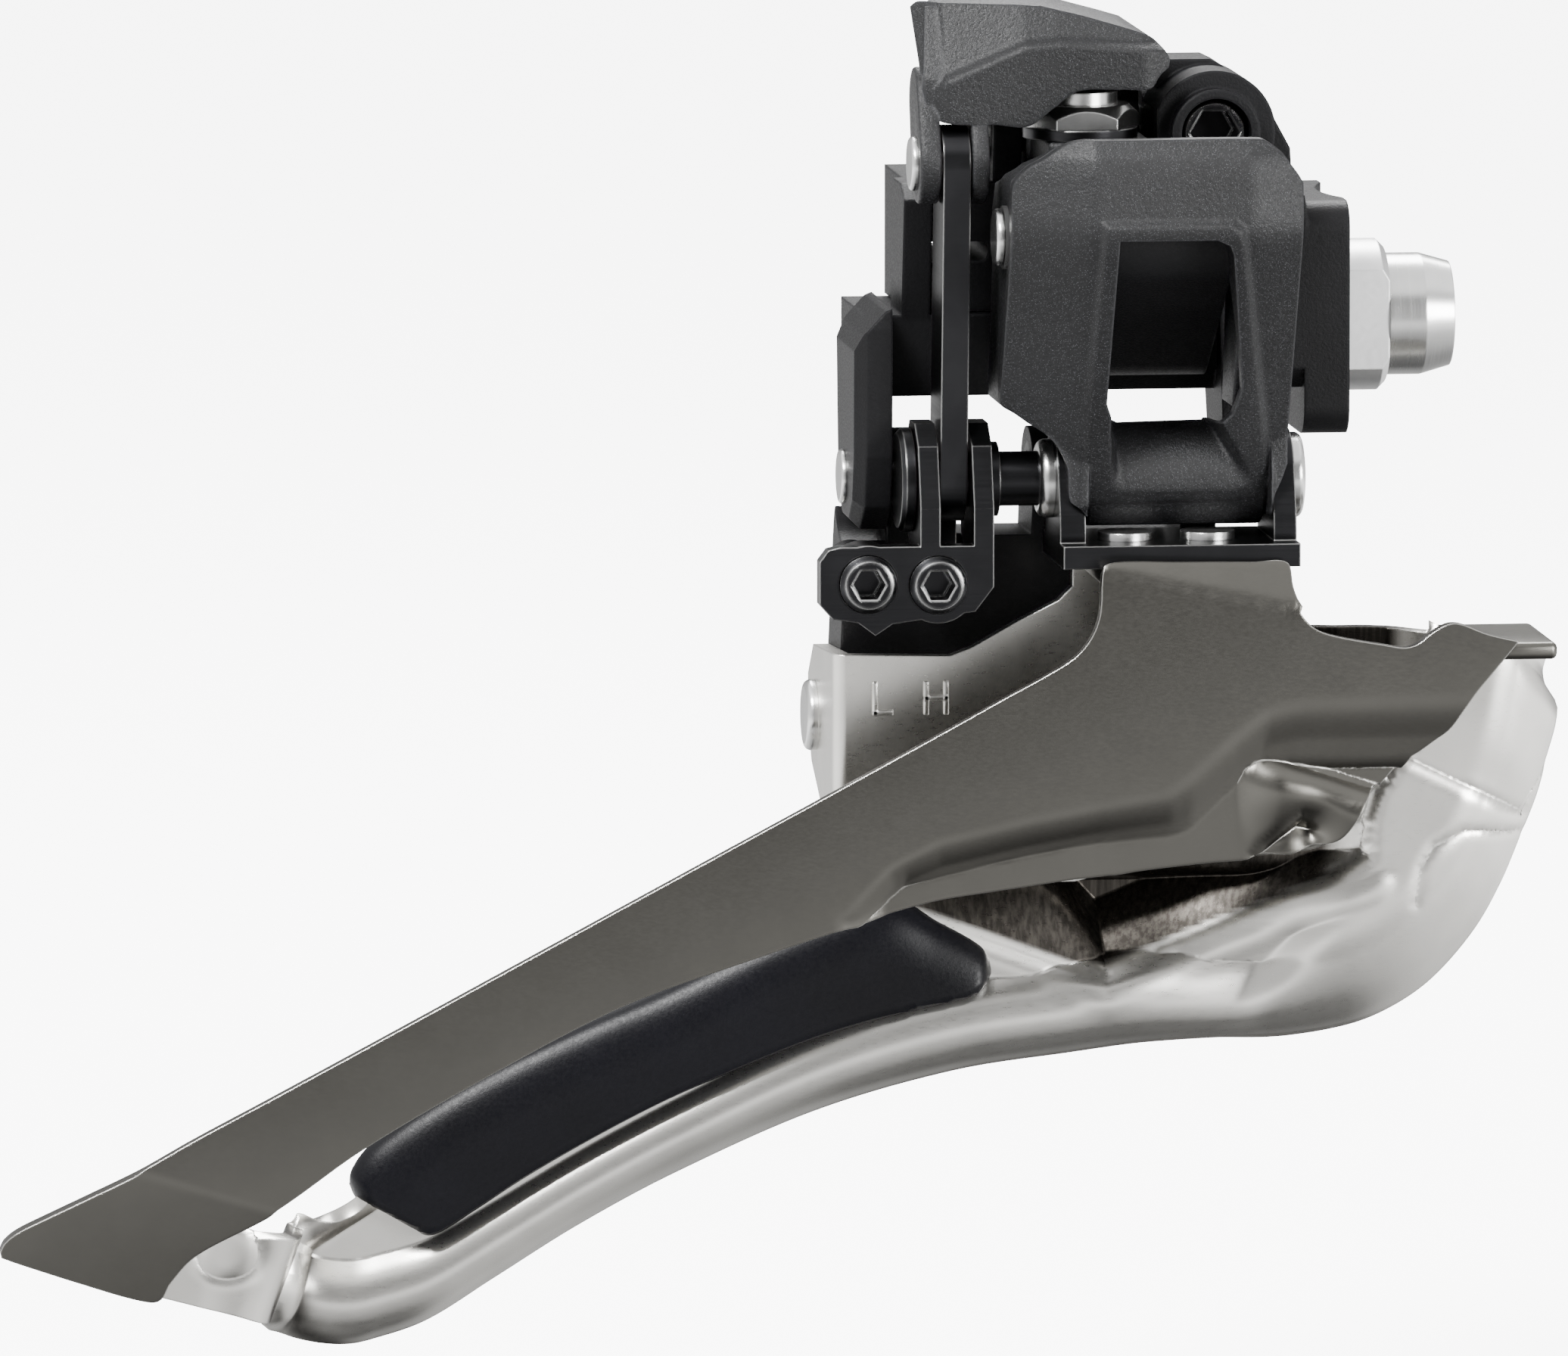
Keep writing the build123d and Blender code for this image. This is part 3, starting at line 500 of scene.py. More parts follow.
def hull(start, end, radius_start, radius_end, steps=18):
    """Outline of a strap with two round ends."""
    gap = math.dist(start, end)
    heading = math.atan2(end[1] - start[1], end[0] - start[0])
    lean = math.acos((radius_start - radius_end) / gap)
    outline = []
    for centre, radius, first, turn in ((start, radius_start, heading + lean, 2 * (math.pi - lean)),
                                        (end, radius_end, heading - lean, 2 * lean)):
        for step in range(steps + 1):
            angle = first + turn * step / steps
            outline.append((centre[0] + radius * math.cos(angle), centre[1] + radius * math.sin(angle)))
    return outline


def rod(name, centre, radius, x_low, x_high, vertices=64):
    """Cylinder along X at a (Y, Z) centre, in millimetres."""
    deselect()
    place = ((x_low + x_high) / 2 * MM, centre[0] * MM, centre[1] * MM)
    bpy.ops.mesh.primitive_cylinder_add(vertices=vertices, radius=radius * MM, depth=(x_high - x_low) * MM,
                                        location=place)
    bpy.ops.transform.rotate(value=math.pi / 2, orient_axis="Y", center_override=place)
    piece = named(name)
    settle(piece)
    return piece


def cut(piece, cutter):
    """Cuts one piece out of another and removes the cutter."""
    modify(piece, "BOOLEAN", object=cutter, operation="DIFFERENCE", solver="EXACT")
    bpy.data.objects.remove(cutter)


def keep(piece, space):
    """Keeps what lies inside another piece and removes that piece."""
    modify(piece, "BOOLEAN", object=space, operation="INTERSECT", solver="EXACT")
    bpy.data.objects.remove(space)


def bevel_edges(piece, width, segments=3, angle=40):
    """Rounds the sharp edges of a piece."""
    modify(piece, "BEVEL", width=width * MM, segments=segments, limit_method="ANGLE",
           angle_limit=math.radians(angle))


# ---- materials -----------------------------------------------------------------------------------
def node(tree, kind, place, **values):
    """Adds a shader node and sets its values and inputs."""
    made = tree.nodes.new(kind)
    made.location = place
    for key, value in values.items():
        if key in made.inputs.keys():
            made.inputs[key].default_value = value
        else:
            setattr(made, key, value)
    return made


def blank(name):
    """New node material with its shader."""
    material = bpy.data.materials.new(name)
    material.use_nodes = True
    tree = material.node_tree
    return material, tree, tree.nodes["Principled BSDF"]


def object_space(tree, scale, turn=(0, 0, 0)):
    """Object coordinates through a mapping."""
    coords = node(tree, "ShaderNodeTexCoord", (-1200, 0))
    mapping = node(tree, "ShaderNodeMapping", (-1000, 0))
    mapping.inputs["Scale"].default_value = scale
    mapping.inputs["Rotation"].default_value = turn
    tree.links.new(coords.outputs["Object"], mapping.inputs["Vector"])
    return mapping.outputs["Vector"]


def noise(tree, vector, scale, detail, place, rough=0.6):
    """Noise texture on a vector."""
    texture = node(tree, "ShaderNodeTexNoise", place, Scale=scale, Detail=detail, Roughness=rough)
    tree.links.new(vector, texture.inputs["Vector"])
    return texture.outputs["Fac"]


def spread(tree, value, low, high, place, source=(0.0, 1.0)):
    """Maps a value to a new range."""
    made = node(tree, "ShaderNodeMapRange", place)
    made.inputs["From Min"].default_value = source[0]
    made.inputs["From Max"].default_value = source[1]
    made.inputs["To Min"].default_value = low
    made.inputs["To Max"].default_value = high
    tree.links.new(value, made.inputs["Value"])
    return made.outputs["Result"]


def blended(tree, factor, first, second, place):
    """Mixes two colours; either may be a socket."""
    made = node(tree, "ShaderNodeMix", place, data_type="RGBA")
    tree.links.new(factor, made.inputs["Factor"])
    for index, value in ((6, first), (7, second)):
        if isinstance(value, bpy.types.NodeSocket):
            tree.links.new(value, made.inputs[index])
        else:
            made.inputs[index].default_value = (*value[:3], 1.0)
    return made.outputs[2]


def relief(tree, shader, height, strength, distance, place=(-250, -400), normal=None):
    """Bump from a height, chained after another normal."""
    made = node(tree, "ShaderNodeBump", place, Strength=strength, Distance=distance)
    tree.links.new(height, made.inputs["Height"])
    if normal is not None:
        tree.links.new(normal, made.inputs["Normal"])
    tree.links.new(made.outputs["Normal"], shader.inputs["Normal"])


def highlit_edges(tree, radius, place=(-1200, 500)):
    """1 on convex and concave edges, where a painted highlight goes, 0 on flats."""
    rounded = node(tree, "ShaderNodeBevel", place, samples=4, Radius=radius)
    surface = node(tree, "ShaderNodeNewGeometry", (place[0], place[1] - 200))
    dot = node(tree, "ShaderNodeVectorMath", (place[0] + 200, place[1]), operation="DOT_PRODUCT")
    tree.links.new(rounded.outputs["Normal"], dot.inputs[0])
    tree.links.new(surface.outputs["Normal"], dot.inputs[1])
    mask = spread(tree, dot.outputs["Value"], 1.0, 0.0, (place[0] + 400, place[1]), source=(0.80, 0.985))
    return mask, rounded.outputs["Normal"]


def brushed_metal(name, colour, rough, grain_scale, grain_turn=(0, 0, 0), grain=0.10, edge=None, spots=0.08,
                  painted_shade_colour=None, highlight_radius=0.00016):
    """Plated or brushed metal: fine grain, cloudy polish, a painted highlight on edges and painted shade in
    recesses.
    """
    material, tree, shader = blank(name)
    vector = object_space(tree, grain_scale, grain_turn)
    lines = noise(tree, vector, 1.0, 4, (-750, 0))
    plain = object_space(tree, (1, 1, 1))
    clouds = noise(tree, plain, 140.0, 3, (-750, -250))
    specks = noise(tree, plain, 2600.0, 2, (-750, -450))
    dark = [c * (1 - spots) for c in colour]
    light = [min(c * (1 + spots), 1.0) for c in colour]
    tone = blended(tree, spread(tree, clouds, 0, 1, (-550, -250), (0.35, 0.65)), dark, light, (-350, 100))
    mask, rounded = highlit_edges(tree, highlight_radius)
    # The edge colour is a painted highlight along edges and chamfers.
    if edge:
        tone = blended(tree, mask, tone, edge, (-150, 200))
    # Painted shade: the colour darkens, with brushed streaks, where the sheet marks it.
    if painted_shade_colour:
        streaks = noise(tree, object_space(tree, (2600, 2600, 120)), 1.0, 3, (-750, 450))
        shadow = [c * 0.5 for c in painted_shade_colour]
        shaded = spread(tree, streaks, 0, 1, (-550, 450), (0.4, 0.62))
        low = blended(tree, shaded, shadow, painted_shade_colour, (-350, 450))
        depth = node(tree, "ShaderNodeAttribute", (-350, 650), attribute_name="painted_shade")
        tone = blended(tree, depth.outputs["Fac"], tone, low, (0, 300))
    tree.links.new(tone, shader.inputs["Base Color"])
    shader.inputs["Metallic"].default_value = 1.0
    rough_lines = spread(tree, lines, rough * 0.92, rough * 1.08, (-550, 0), (0.3, 0.7))
    tree.links.new(rough_lines, shader.inputs["Roughness"])
    first = node(tree, "ShaderNodeBump", (-450, -500), Strength=grain, Distance=0.00003)
    tree.links.new(lines, first.inputs["Height"])
    tree.links.new(rounded, first.inputs["Normal"])
    relief(tree, shader, specks, grain * 0.5, 0.00002, (-250, -500), first.outputs["Normal"])
    return material


def sanded_paint(name, colour, grain_scale, sparkle, rough=0.42, sheen=0.14, edge=None, strength=0.5):
    """Sand-textured paint over a casting, with a fine metallic sparkle and a painted highlight on its edges.
    """
    material, tree, shader = blank(name)
    vector = object_space(tree, (1, 1, 1))
    grains = noise(tree, vector, grain_scale, 3, (-750, 0), 0.7)
    flakes = node(tree, "ShaderNodeTexVoronoi", (-750, -250), Scale=grain_scale * 2.2)
    tree.links.new(vector, flakes.inputs["Vector"])
    clouds = noise(tree, vector, 120.0, 3, (-750, 250))
    glint = spread(tree, flakes.outputs["Distance"], 1.0, 0.0, (-550, -250), (0.05, 0.22))
    dark = [c * 0.8 for c in colour]
    light = [c * 1.25 for c in colour]
    tone = blended(tree, spread(tree, clouds, 0, 1, (-550, 250), (0.3, 0.7)), dark, light, (-350, 200))
    tone = blended(tree, glint, tone, [min(c * (1 + sparkle), 1) for c in colour], (-200, 200))
    # Edges get a lighter colour: a painted highlight.
    mask, rounded = highlit_edges(tree, 0.00030)
    tone = blended(tree, mask, tone, edge or [c * 2.2 for c in colour], (-50, 300))
    tree.links.new(tone, shader.inputs["Base Color"])
    shader.inputs["Specular IOR Level"].default_value = sheen
    tree.links.new(spread(tree, grains, rough * 0.8, rough * 1.3, (-550, 0), (0.3, 0.7)),
                   shader.inputs["Roughness"])
    relief(tree, shader, grains, strength, 0.00007, (-250, -400), rounded)
    return material


def moulded_resin(name, colour, rough=0.36):
    """Moulded low-friction resin: fine pores and faint wear."""
    material, tree, shader = blank(name)
    vector = object_space(tree, (1, 1, 1))
    pores = noise(tree, vector, 4200.0, 3, (-750, 0), 0.7)
    clouds = noise(tree, vector, 90.0, 4, (-750, -250))
    dark = [c * 0.8 for c in colour]
    light = [c * 1.35 for c in colour]
    tone = blended(tree, spread(tree, clouds, 0, 1, (-550, -250), (0.3, 0.7)), dark, light, (-350, 100))
    tree.links.new(tone, shader.inputs["Base Color"])
    tree.links.new(spread(tree, pores, rough * 0.85, rough * 1.2, (-550, 0), (0.3, 0.7)),
                   shader.inputs["Roughness"])
    shader.inputs["Specular IOR Level"].default_value = 0.18
    relief(tree, shader, pores, 0.22, 0.00006)
    return material


FINISHES = {}


def make_finishes():
    """Makes every finish once."""
    colours = bpy.context.scene.derailleur_colours
    fine = (90, 90, 5200)
    # The edge colours given here are painted highlights along edges; the wider radius for BlackOxide paints a
    # highlight ring on the screws' chamfers.
    FINISHES["plate_dark"] = brushed_metal(
        "DarkNickel", colours.dark_nickel, 0.30, (2600, 7000, 7000), (0, math.radians(-27), 0), 0.012,
        (0.80, 0.79, 0.75), 0.04)
    # The dark colour last in this call is the painted shade of the pocket and the tail wall.
    FINISHES["plate_bright"] = brushed_metal(
        "SatinNickel", colours.nickel, 0.29, (1500, 6000, 6000), (0, math.radians(-25), 0), 0.015,
        (0.85, 0.84, 0.81), 0.05, (0.075, 0.068, 0.060))
    FINISHES["rivet_bright"] = brushed_metal("RivetPolish", colours.steel, 0.24, (900, 900, 900), grain=0.05)
    FINISHES["bolt_steel"] = brushed_metal("TurnedSteel", colours.steel, 0.26, (5200, 60, 60), grain=0.16)
    FINISHES["washer_alloy"] = brushed_metal(
        "SatinAlloy", colours.alloy, 0.38, (2200, 2200, 2200), grain=0.12)
    FINISHES["spring_steel"] = brushed_metal("SpringWire", (0.25, 0.25, 0.25), 0.3, fine)
    FINISHES["steel_black"] = brushed_metal(
        "BlackSteel", colours.black_steel, 0.30, fine, (0, 0, 0), 0.25, (0.55, 0.55, 0.54), 0.15)
    FINISHES["screw_black"] = brushed_metal(
        "BlackOxide", colours.black_steel, 0.26, (700, 700, 700), (0, 0, 0), 0.10, (0.85, 0.85, 0.84), 0.1,
        highlight_radius=0.00034)
    FINISHES["cast_black"] = sanded_paint("CastBlack", colours.cast_black, 6500.0, 2.5, 0.42)
    FINISHES["link_black"] = sanded_paint(
        "LinkGrey", colours.link_grey, 4200.0, 22.0, 0.44, 0.32, [c * 5 for c in colours.link_grey], 1.0)
    FINISHES["pad_resin"] = moulded_resin("PadResin", colours.resin)
    FINISHES["bush_resin"] = moulded_resin("BushResin", (0.03, 0.03, 0.03))


def finish_piece(piece, slot, body, *replaced):
    """Gives a new piece the finish of a slot, attaches it to its body and hides the parts it replaces."""
    piece.data.materials.clear()
    piece.data.materials.append(FINISHES[slot])
    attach(piece, body)
    if replaced:
        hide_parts(*replaced)


# ---- the cage ------------------------------------------------------------------------------------
def tail_turn(x, z, angle):
    """How far the tail lies inboard of the flat sheet."""
    return max(-side(TAIL_FOLD, x, z), 0.0) * math.tan(angle)


def outer_relief(x, z, sizes):
    """Depth of the outer plate's pressed form, positive inboard."""
    depth = 0.0
    shoulder = height_at(SHOULDER, x) + SHOULDER_RISE
    crease = height_at(CREASE, x)
    if z < shoulder and x > REBATE_LEFT:
        run = max(shoulder - crease, 0.8)
        drop = min((shoulder - z) / run, 1.0)
        depth += sizes.rebate * drop * smooth(drop / 0.7) * smooth((x - REBATE_LEFT) / REBATE_FADE)
    depth += hook_relief(x, z)
    neck = side(NECK_FACET, x, z)
    if neck > 0 and z > NECK_LOW:
        depth += NECK_LEAN * neck
    depth += tail_turn(x, z, sizes.tail_fold)
    depth += CUP * (z - height_at(CUP_LINE, x)) ** 2
    return depth


def hook_relief(x, z):
    """Domed hook at the plate's front lower corner, under a ledge, with its slit and dimple."""
    if x < HOOK_LEFT - 0.3 or z > height_at(CREASE, x):
        return 0.0
    below = -side(HOOK_LEDGE, x, z)
    left = smooth((x - HOOK_LEFT) / HOOK_FADE)
    dome = HOOK_DOME * smooth(below / 1.3) * bump(max(below - 1.3, 0.0), 3.4) * left
    facet = HOOK_FACET * smooth(-below / 0.5) * left * smooth((height_at(CREASE, x) - z) / 0.6)
    place = along(HOOK_SLIT, x, z)
    gap = -side(HOOK_SLIT, x, z)
    slit = 0.0
    if 0 < place < 1 and gap > 0:
        slit = SLIT_DEPTH * math.sin(math.pi * place) * smooth(gap / 0.22) * (1 - smooth(gap / 2.0))
    reach = math.hypot(x - HOOK_DIMPLE[0], (z - HOOK_DIMPLE[1]) * 1.1)
    return facet - dome + slit + DIMPLE_DEPTH * bump(reach, DIMPLE_WIDTH)


def pocket_depth(x, z, sizes):
    """Depth of the pocket pressed into the inner plate above its V-shaped edge."""
    left = side(POCKET_LEFT, x, z)
    right = side(POCKET_RIGHT, x, z)
    rim = height_at(POCKET_RIM, z) - x
    facet = side(POCKET_FACET, x, z)
    if x < POCKET_START or rim < 0:
        return 0.0
    wall = min(0.9 * right, 0.35 * left + 1.1 * max(-facet, 0.0))
    deep = min(max(wall, 0.0), sizes.pocket) * smooth(rim / RIM_WIDTH)
    lip = LIP_DEPTH * smooth(rim / RIM_WIDTH) * smooth((x + 9.0) / 6.0) + 0.5 * smooth(min(left, right) / 2.0)
    above = smooth((z - LEDGE_Z) / LEDGE_WIDTH)
    return (deep * (1 - above) + lip * above) * smooth((x - POCKET_START) / 4.0)


def inner_relief(x, z, above, sizes):
    """Depth of the inner plate's pressed form, positive inboard."""
    front = smooth((x + 14) / 14)
    ramp = min(above / sizes.bead_width, 1.0)
    bead = math.sin(math.pi * ramp) ** 1.1 * (1 - 0.85 * front)
    swell = 1.9 * front * smooth(above / 7.0)
    depth = -sizes.bead * bead - swell
    depth += 0.7 * bump(above, 0.8) + 1.0 * front * bump(above, 1.8)
    depth -= 1.3 * bump(near(TAIL_RIDGE, x, z), 0.9)
    depth += pocket_depth(x, z, sizes)
    outside = -min(side(POCKET_LEFT, x, z), side(POCKET_RIGHT, x, z))
    depth -= 0.22 * bump(near(POCKET_EDGE, x, z) - 0.9, 0.8) * smooth(outside / 0.8)
    if 0 < along(GROOVE, x, z) < 1:
        depth += 0.40 * bump(side(GROOVE, x, z), 0.32)
        depth += 0.25 * smooth(side(GROOVE, x, z) / 0.5) * bump(side(GROOVE, x, z), 3.0)
    depth += 0.20 * bump(near(ARC_CREASE, x, z), 0.26)
    beyond = -side(FRONT_CREASE, x, z)
    if beyond > 0 and z < FRONT_CREASE_TOP:
        fade = smooth((FRONT_CREASE_TOP - z) / 3) * smooth(above / 3)
        depth += 0.8 * smooth(beyond / 2.6) * bump(beyond, 6.0) * fade
    return depth


def make_outer_plate():
    """Outer cage plate, with its rebate, hook, tail fold and flanges."""
    sizes = bpy.context.scene.derailleur_cage

    def place(x, z, u, v, width, extra):
        return sizes.outer_face + outer_relief(x, z, sizes)

    plate = sheet_between("outer_cage_plate", OUTER_STATIONS, 420, 60, place)
    give_thickness(plate, sizes.sheet, 0.28, 3)
    face = sizes.outer_face
    flange = bevelled_block("neck_flange", (-19.4, face + 1.0, -16.4), (-6.8, face + 11.4, -15.2), 0.35)
    bridge = bevelled_block("front_bridge", (5.5, face + 0.5, -21.9), (12.6, face + 12.2, -20.7), 0.4)
    plate = join([plate, flange, bridge])
    soften(plate, 40)
    finish_piece(plate, "plate_dark", "cage", "outer_plate")


def make_inner_plate():
    """Inner cage plate, with its bead, pocket, tail wall and riveting tab."""
    sizes = bpy.context.scene.derailleur_cage
    tab_gap = sizes.inner_face - sizes.outer_face - sizes.sheet

    def place(x, z, u, v, width, extra):
        flat = sizes.inner_face + inner_relief(x, z, v * width, sizes) * (1 - smooth(extra / 2.0))
        depth = flat - extra / FULL_TURN * tab_gap
        if extra > 6:
            depth += tail_turn(x, z, sizes.tail_fold) * smooth((extra - 6) / 3)
            rivet = math.hypot(x - TAIL_RIVET[0], z - TAIL_RIVET[1]) - TAIL_RIVET[2]
            depth += 0.35 * bump(rivet, 0.4) * smooth((extra - 9) / 0.5)
        return depth

    # Painted shade: on the tail wall, in a band beside the strut and inside the pocket.
    def shade(x, z, extra):
        if x < TAIL_START:
            wall = smooth((extra - 0.8) / 2.0) * smooth((9.6 - extra) / 1.5)
            return max(0.9 * wall, 0.9 * bump(near(TAIL_SHADOW, x, z), 0.8) * smooth(1.0 - extra))
        inside = min(side(POCKET_LEFT, x, z), side(POCKET_RIGHT, x, z))
        rim = height_at(POCKET_RIM, z) - x
        return smooth(inside / 0.5) * smooth(rim / 3.0) * smooth((x - POCKET_START) / 1.5)

    plate = sheet_between("inner_cage_plate", INNER_STATIONS, 430, 84, place, shade)
    give_thickness(plate, sizes.sheet, 0.28, 3)
    soften(plate, 40)
    finish_piece(plate, "plate_bright", "cage", "inner_plate")


def make_skid_pad():
    """Resin pad that the chain rubs on."""
    sizes = bpy.context.scene.derailleur_cage

    def place(x, z, u, v, width, extra):
        above = v * width
        below = (1 - v) * width
        ends = min(u, 1 - u) * 52
        lower = min(above / 0.35, 1.0)
        upper = math.sqrt(1 - (1 - min(below / 4.0, 1.0)) ** 2)
        end = math.sqrt(1 - (1 - min(ends / 1.2, 1.0)) ** 2)
        return sizes.inner_face - sizes.pad * (0.12 + 0.88 * lower * (0.30 + 0.70 * upper) * end)

    pad = sheet_between("skid_pad_resin", PAD_STATIONS, 190, 40, place)
    give_thickness(pad, 0.5, 0.15, 2)
    soften(pad, 45)
    finish_piece(pad, "pad_resin", "cage", "skid_pad")


# ---- the outer link and the lever ----------------------------------------------------------------
def inside_frame(x, z):
    """How far a point lies inside the raised frame of the outer link."""
    corners = zip(LINK_FRAME, LINK_FRAME[1:] + LINK_FRAME[:1])
    return min(side((a, b), x, z) for a, b in corners)


def link_front(x, z):
    """Depth of the outer link's front."""
    depth = sum(height_at(LINK_PROFILE, z + step) for step in (-0.8, -0.4, 0.0, 0.4, 0.8)) / 5
    for turn, (fold, setback, width) in zip((-1, 1), LINK_SIDES):
        beyond = max((x - fold) * turn + 0.3, 0.0)
        depth += setback * beyond ** 2 / (beyond + 0.6) / width
    if z < -6.0 and (x < -20.0 or x > -7.2):
        depth = min(depth, -20.4)
    depth -= 0.5 * smooth(inside_frame(x, z) / 0.7 + 0.2)
    if z < -4.0:
        low = smooth((-4.0 - z) / 7.0)
        left = x - (LINK_RAILS[0][0] + (LINK_RAILS[0][1] - LINK_RAILS[0][0]) * (-4.0 - z) / 7.0)
        right = LINK_RAILS[1][0] + (LINK_RAILS[1][1] - LINK_RAILS[1][0]) * (-4.0 - z) / 7.0 - x
        boss = LINK_LOW[0] - math.sqrt(max(3.9 ** 2 - (z - LINK_LOW[1]) ** 2, 0.3))
        if min(left, right) > 0 and boss > depth:
            depth += (boss - depth) * smooth(min(left, right) / (0.5 + 0.5 * low))
    return depth


def make_outer_link():
    """Outer link: turned front with a window in a raised frame, two walls and the axle boss."""

    def place(x, z, u, v, width, extra):
        return link_front(x, z)

    front = sheet_between("link_front", LINK_STATIONS, 150, 200, place)
    thicken(front, 1.3)
    cut(front, prism("window", [(x, -34, z) for x, z in LINK_WINDOW], (0, 30, 0)))
    bevel_edges(front, 0.30, angle=55)
    frame_wall = prism("wall", [(x, -27.6, z) for x, z in grown(LINK_WINDOW, 1.3)], (0, 3.4, 0))
    cut(frame_wall, prism("window", [(x, -34, z) for x, z in LINK_WINDOW], (0, 30, 0)))
    slope = across([(-34, 30), (-34, -30), (-9.6, -30), (-19.6, -8.0), (-27.9, 8.5), (-27.9, 30)], -40, 10)
    cut(frame_wall, slope)
    left = prism("left_wall", [(-22.0, y + 0.9, z) for y, z in LINK_WALL], (-4.0, 2.33, 0))
    right = prism("right_wall", [(-10.0, y, z) for y, z in LINK_WALL], (3.8, 1.1, 0))
    for wall in (left, right):
        keep(wall, silhouette("outline", LINK_STATIONS, -34, 30))
        cut(wall, rod("bore", LINK_TOP, 2.2, -40, 10))
        bevel_edges(wall, 0.25)
    boss = rod("boss", LINK_LOW, 3.35, -19.8, -7.4)
    cut(boss, rod("bore", LINK_LOW, 2.5, -40, 10))
    bevel_edges(boss, 0.25)
    link = join([front, frame_wall, left, right, boss])
    link.name = "outer_link_casting"
    soften(link, 40)
    finish_piece(link, "link_black", "outer_link", "outer_link")


def grown(outline, amount):
    """Outline moved outwards from its middle."""
    middle = [sum(point[axis] for point in outline) / len(outline) for axis in (0, 1)]
    moved = []
    for x, z in outline:
        away = math.hypot(x - middle[0], z - middle[1])
        scale = (away + amount) / away
        moved.append((middle[0] + (x - middle[0]) * scale, middle[1] + (z - middle[1]) * scale))
    return moved


def make_toggle_lever():
    """Toggle lever: ridged cap, two ears for the rod, hub and cable deck."""

    def place(x, z, u, v, width, extra):
        over = z - height_at(CAP_RIDGE, x)
        lean = 0.9 * smooth(over / 0.9) + 0.42 * max(over - 0.9, 0.0)
        turned = 0.8 * max(-29.8 - x, 0.0) + 0.35 * smooth((x + 16.2) / 2.2) * 2
        return -20.0 + lean + 0.06 * max(-over, 0.0) + turned

    face = sheet_between("lever_cap", CAP_STATIONS, 110, 60, place)
    modify(face, "SOLIDIFY", thickness=0.7 * MM, offset=-1.0, use_even_offset=False)
    turn_outward(face)
    bevel_edges(face, 0.30, angle=50)
    body = silhouette("cap_body", CAP_STATIONS, -24, 23)
    keep(body, across(CAP_SIDE, -34, -12))
    keep(body, prism("plan", [(x, y, 10) for x, y in CAP_PLAN], (0, 0, 20)))
    cut(body, bevelled_block("underside", (-27.0, -11.0, 10), (-12.0, 1.0, 19.2), 0.3))
    deselect()
    bpy.ops.mesh.primitive_cylinder_add(vertices=64, radius=4.5 * MM, depth=8.2 * MM,
                                        location=(ANCHOR[0] * MM, ANCHOR[1] * MM, 14.1 * MM))
    pocket = named("pocket")
    settle(pocket)
    cut(body, pocket)
    cut(body, rod("rod_space", TOGGLE_TOP, 3.2, -30.5, -28.0))
    bevel_edges(body, 0.35)
    parts = [face, body]
    for x_low, x_high, reach in ((-31.8, -30.32, 2.8), (-28.18, -26.95, 2.8)):
        ear = across(hull(TOGGLE_TOP, (-16.4, 17.0), reach, 2.4), x_low, x_high)
        cut(ear, rod("bore", TOGGLE_TOP, 1.4, -40, 0))
        bevel_edges(ear, 0.22)
        parts.append(ear)
    hub = rod("hub", LEVER_PIVOT, 3.2, -22.9, -14.9)
    cut(hub, rod("bore", LEVER_PIVOT, 1.65, -40, 0))
    post = across([(-8.5, 15.6), (-8.9, 19.6), (-3.6, 19.6), (-3.4, 15.6)], -22.9, -14.9)
    deck = across([(-18.8, 12.8), (-18.8, 14.2), (-8.6, 14.2), (-8.6, 12.2)], -22.6, -15.2)
    for part in (hub, post, deck):
        bevel_edges(part, 0.22)
        parts.append(part)
    lever = join(parts)
    lever.name = "toggle_lever_casting"
    soften(lever, 40)
    finish_piece(lever, "link_black", "toggle_lever", "toggle_lever")


def make_marks():
    """Raised letters beside the limit screws: L for the low one and H for the high one."""
    face = bpy.context.scene.derailleur_cage.inner_face - bpy.context.scene.derailleur_cage.sheet
    strokes = []
    for x_low, x_high, z_low, z_high in MARK_STROKES:
        strokes.append(bevelled_block("mark", (x_low, face - 0.25, z_low), (x_high, face + 0.3, z_high), 0.1))
    marks = join(strokes)
    marks.name = "limit_marks"
    soften(marks, 40)
    finish_piece(marks, "plate_bright", "cage")


# ---- CAD nodes and stage -------------------------------------------------------------------------
def finish_nodes():
    """Gives every CAD node that stays visible its finish."""
    slots = {part["node"]: part["material_slot"] for part in frame["record"]["subparts"]}
    for name, made in frame["nodes"].items():
        made.data.materials.clear()
        made.data.materials.append(FINISHES[slots[name]])


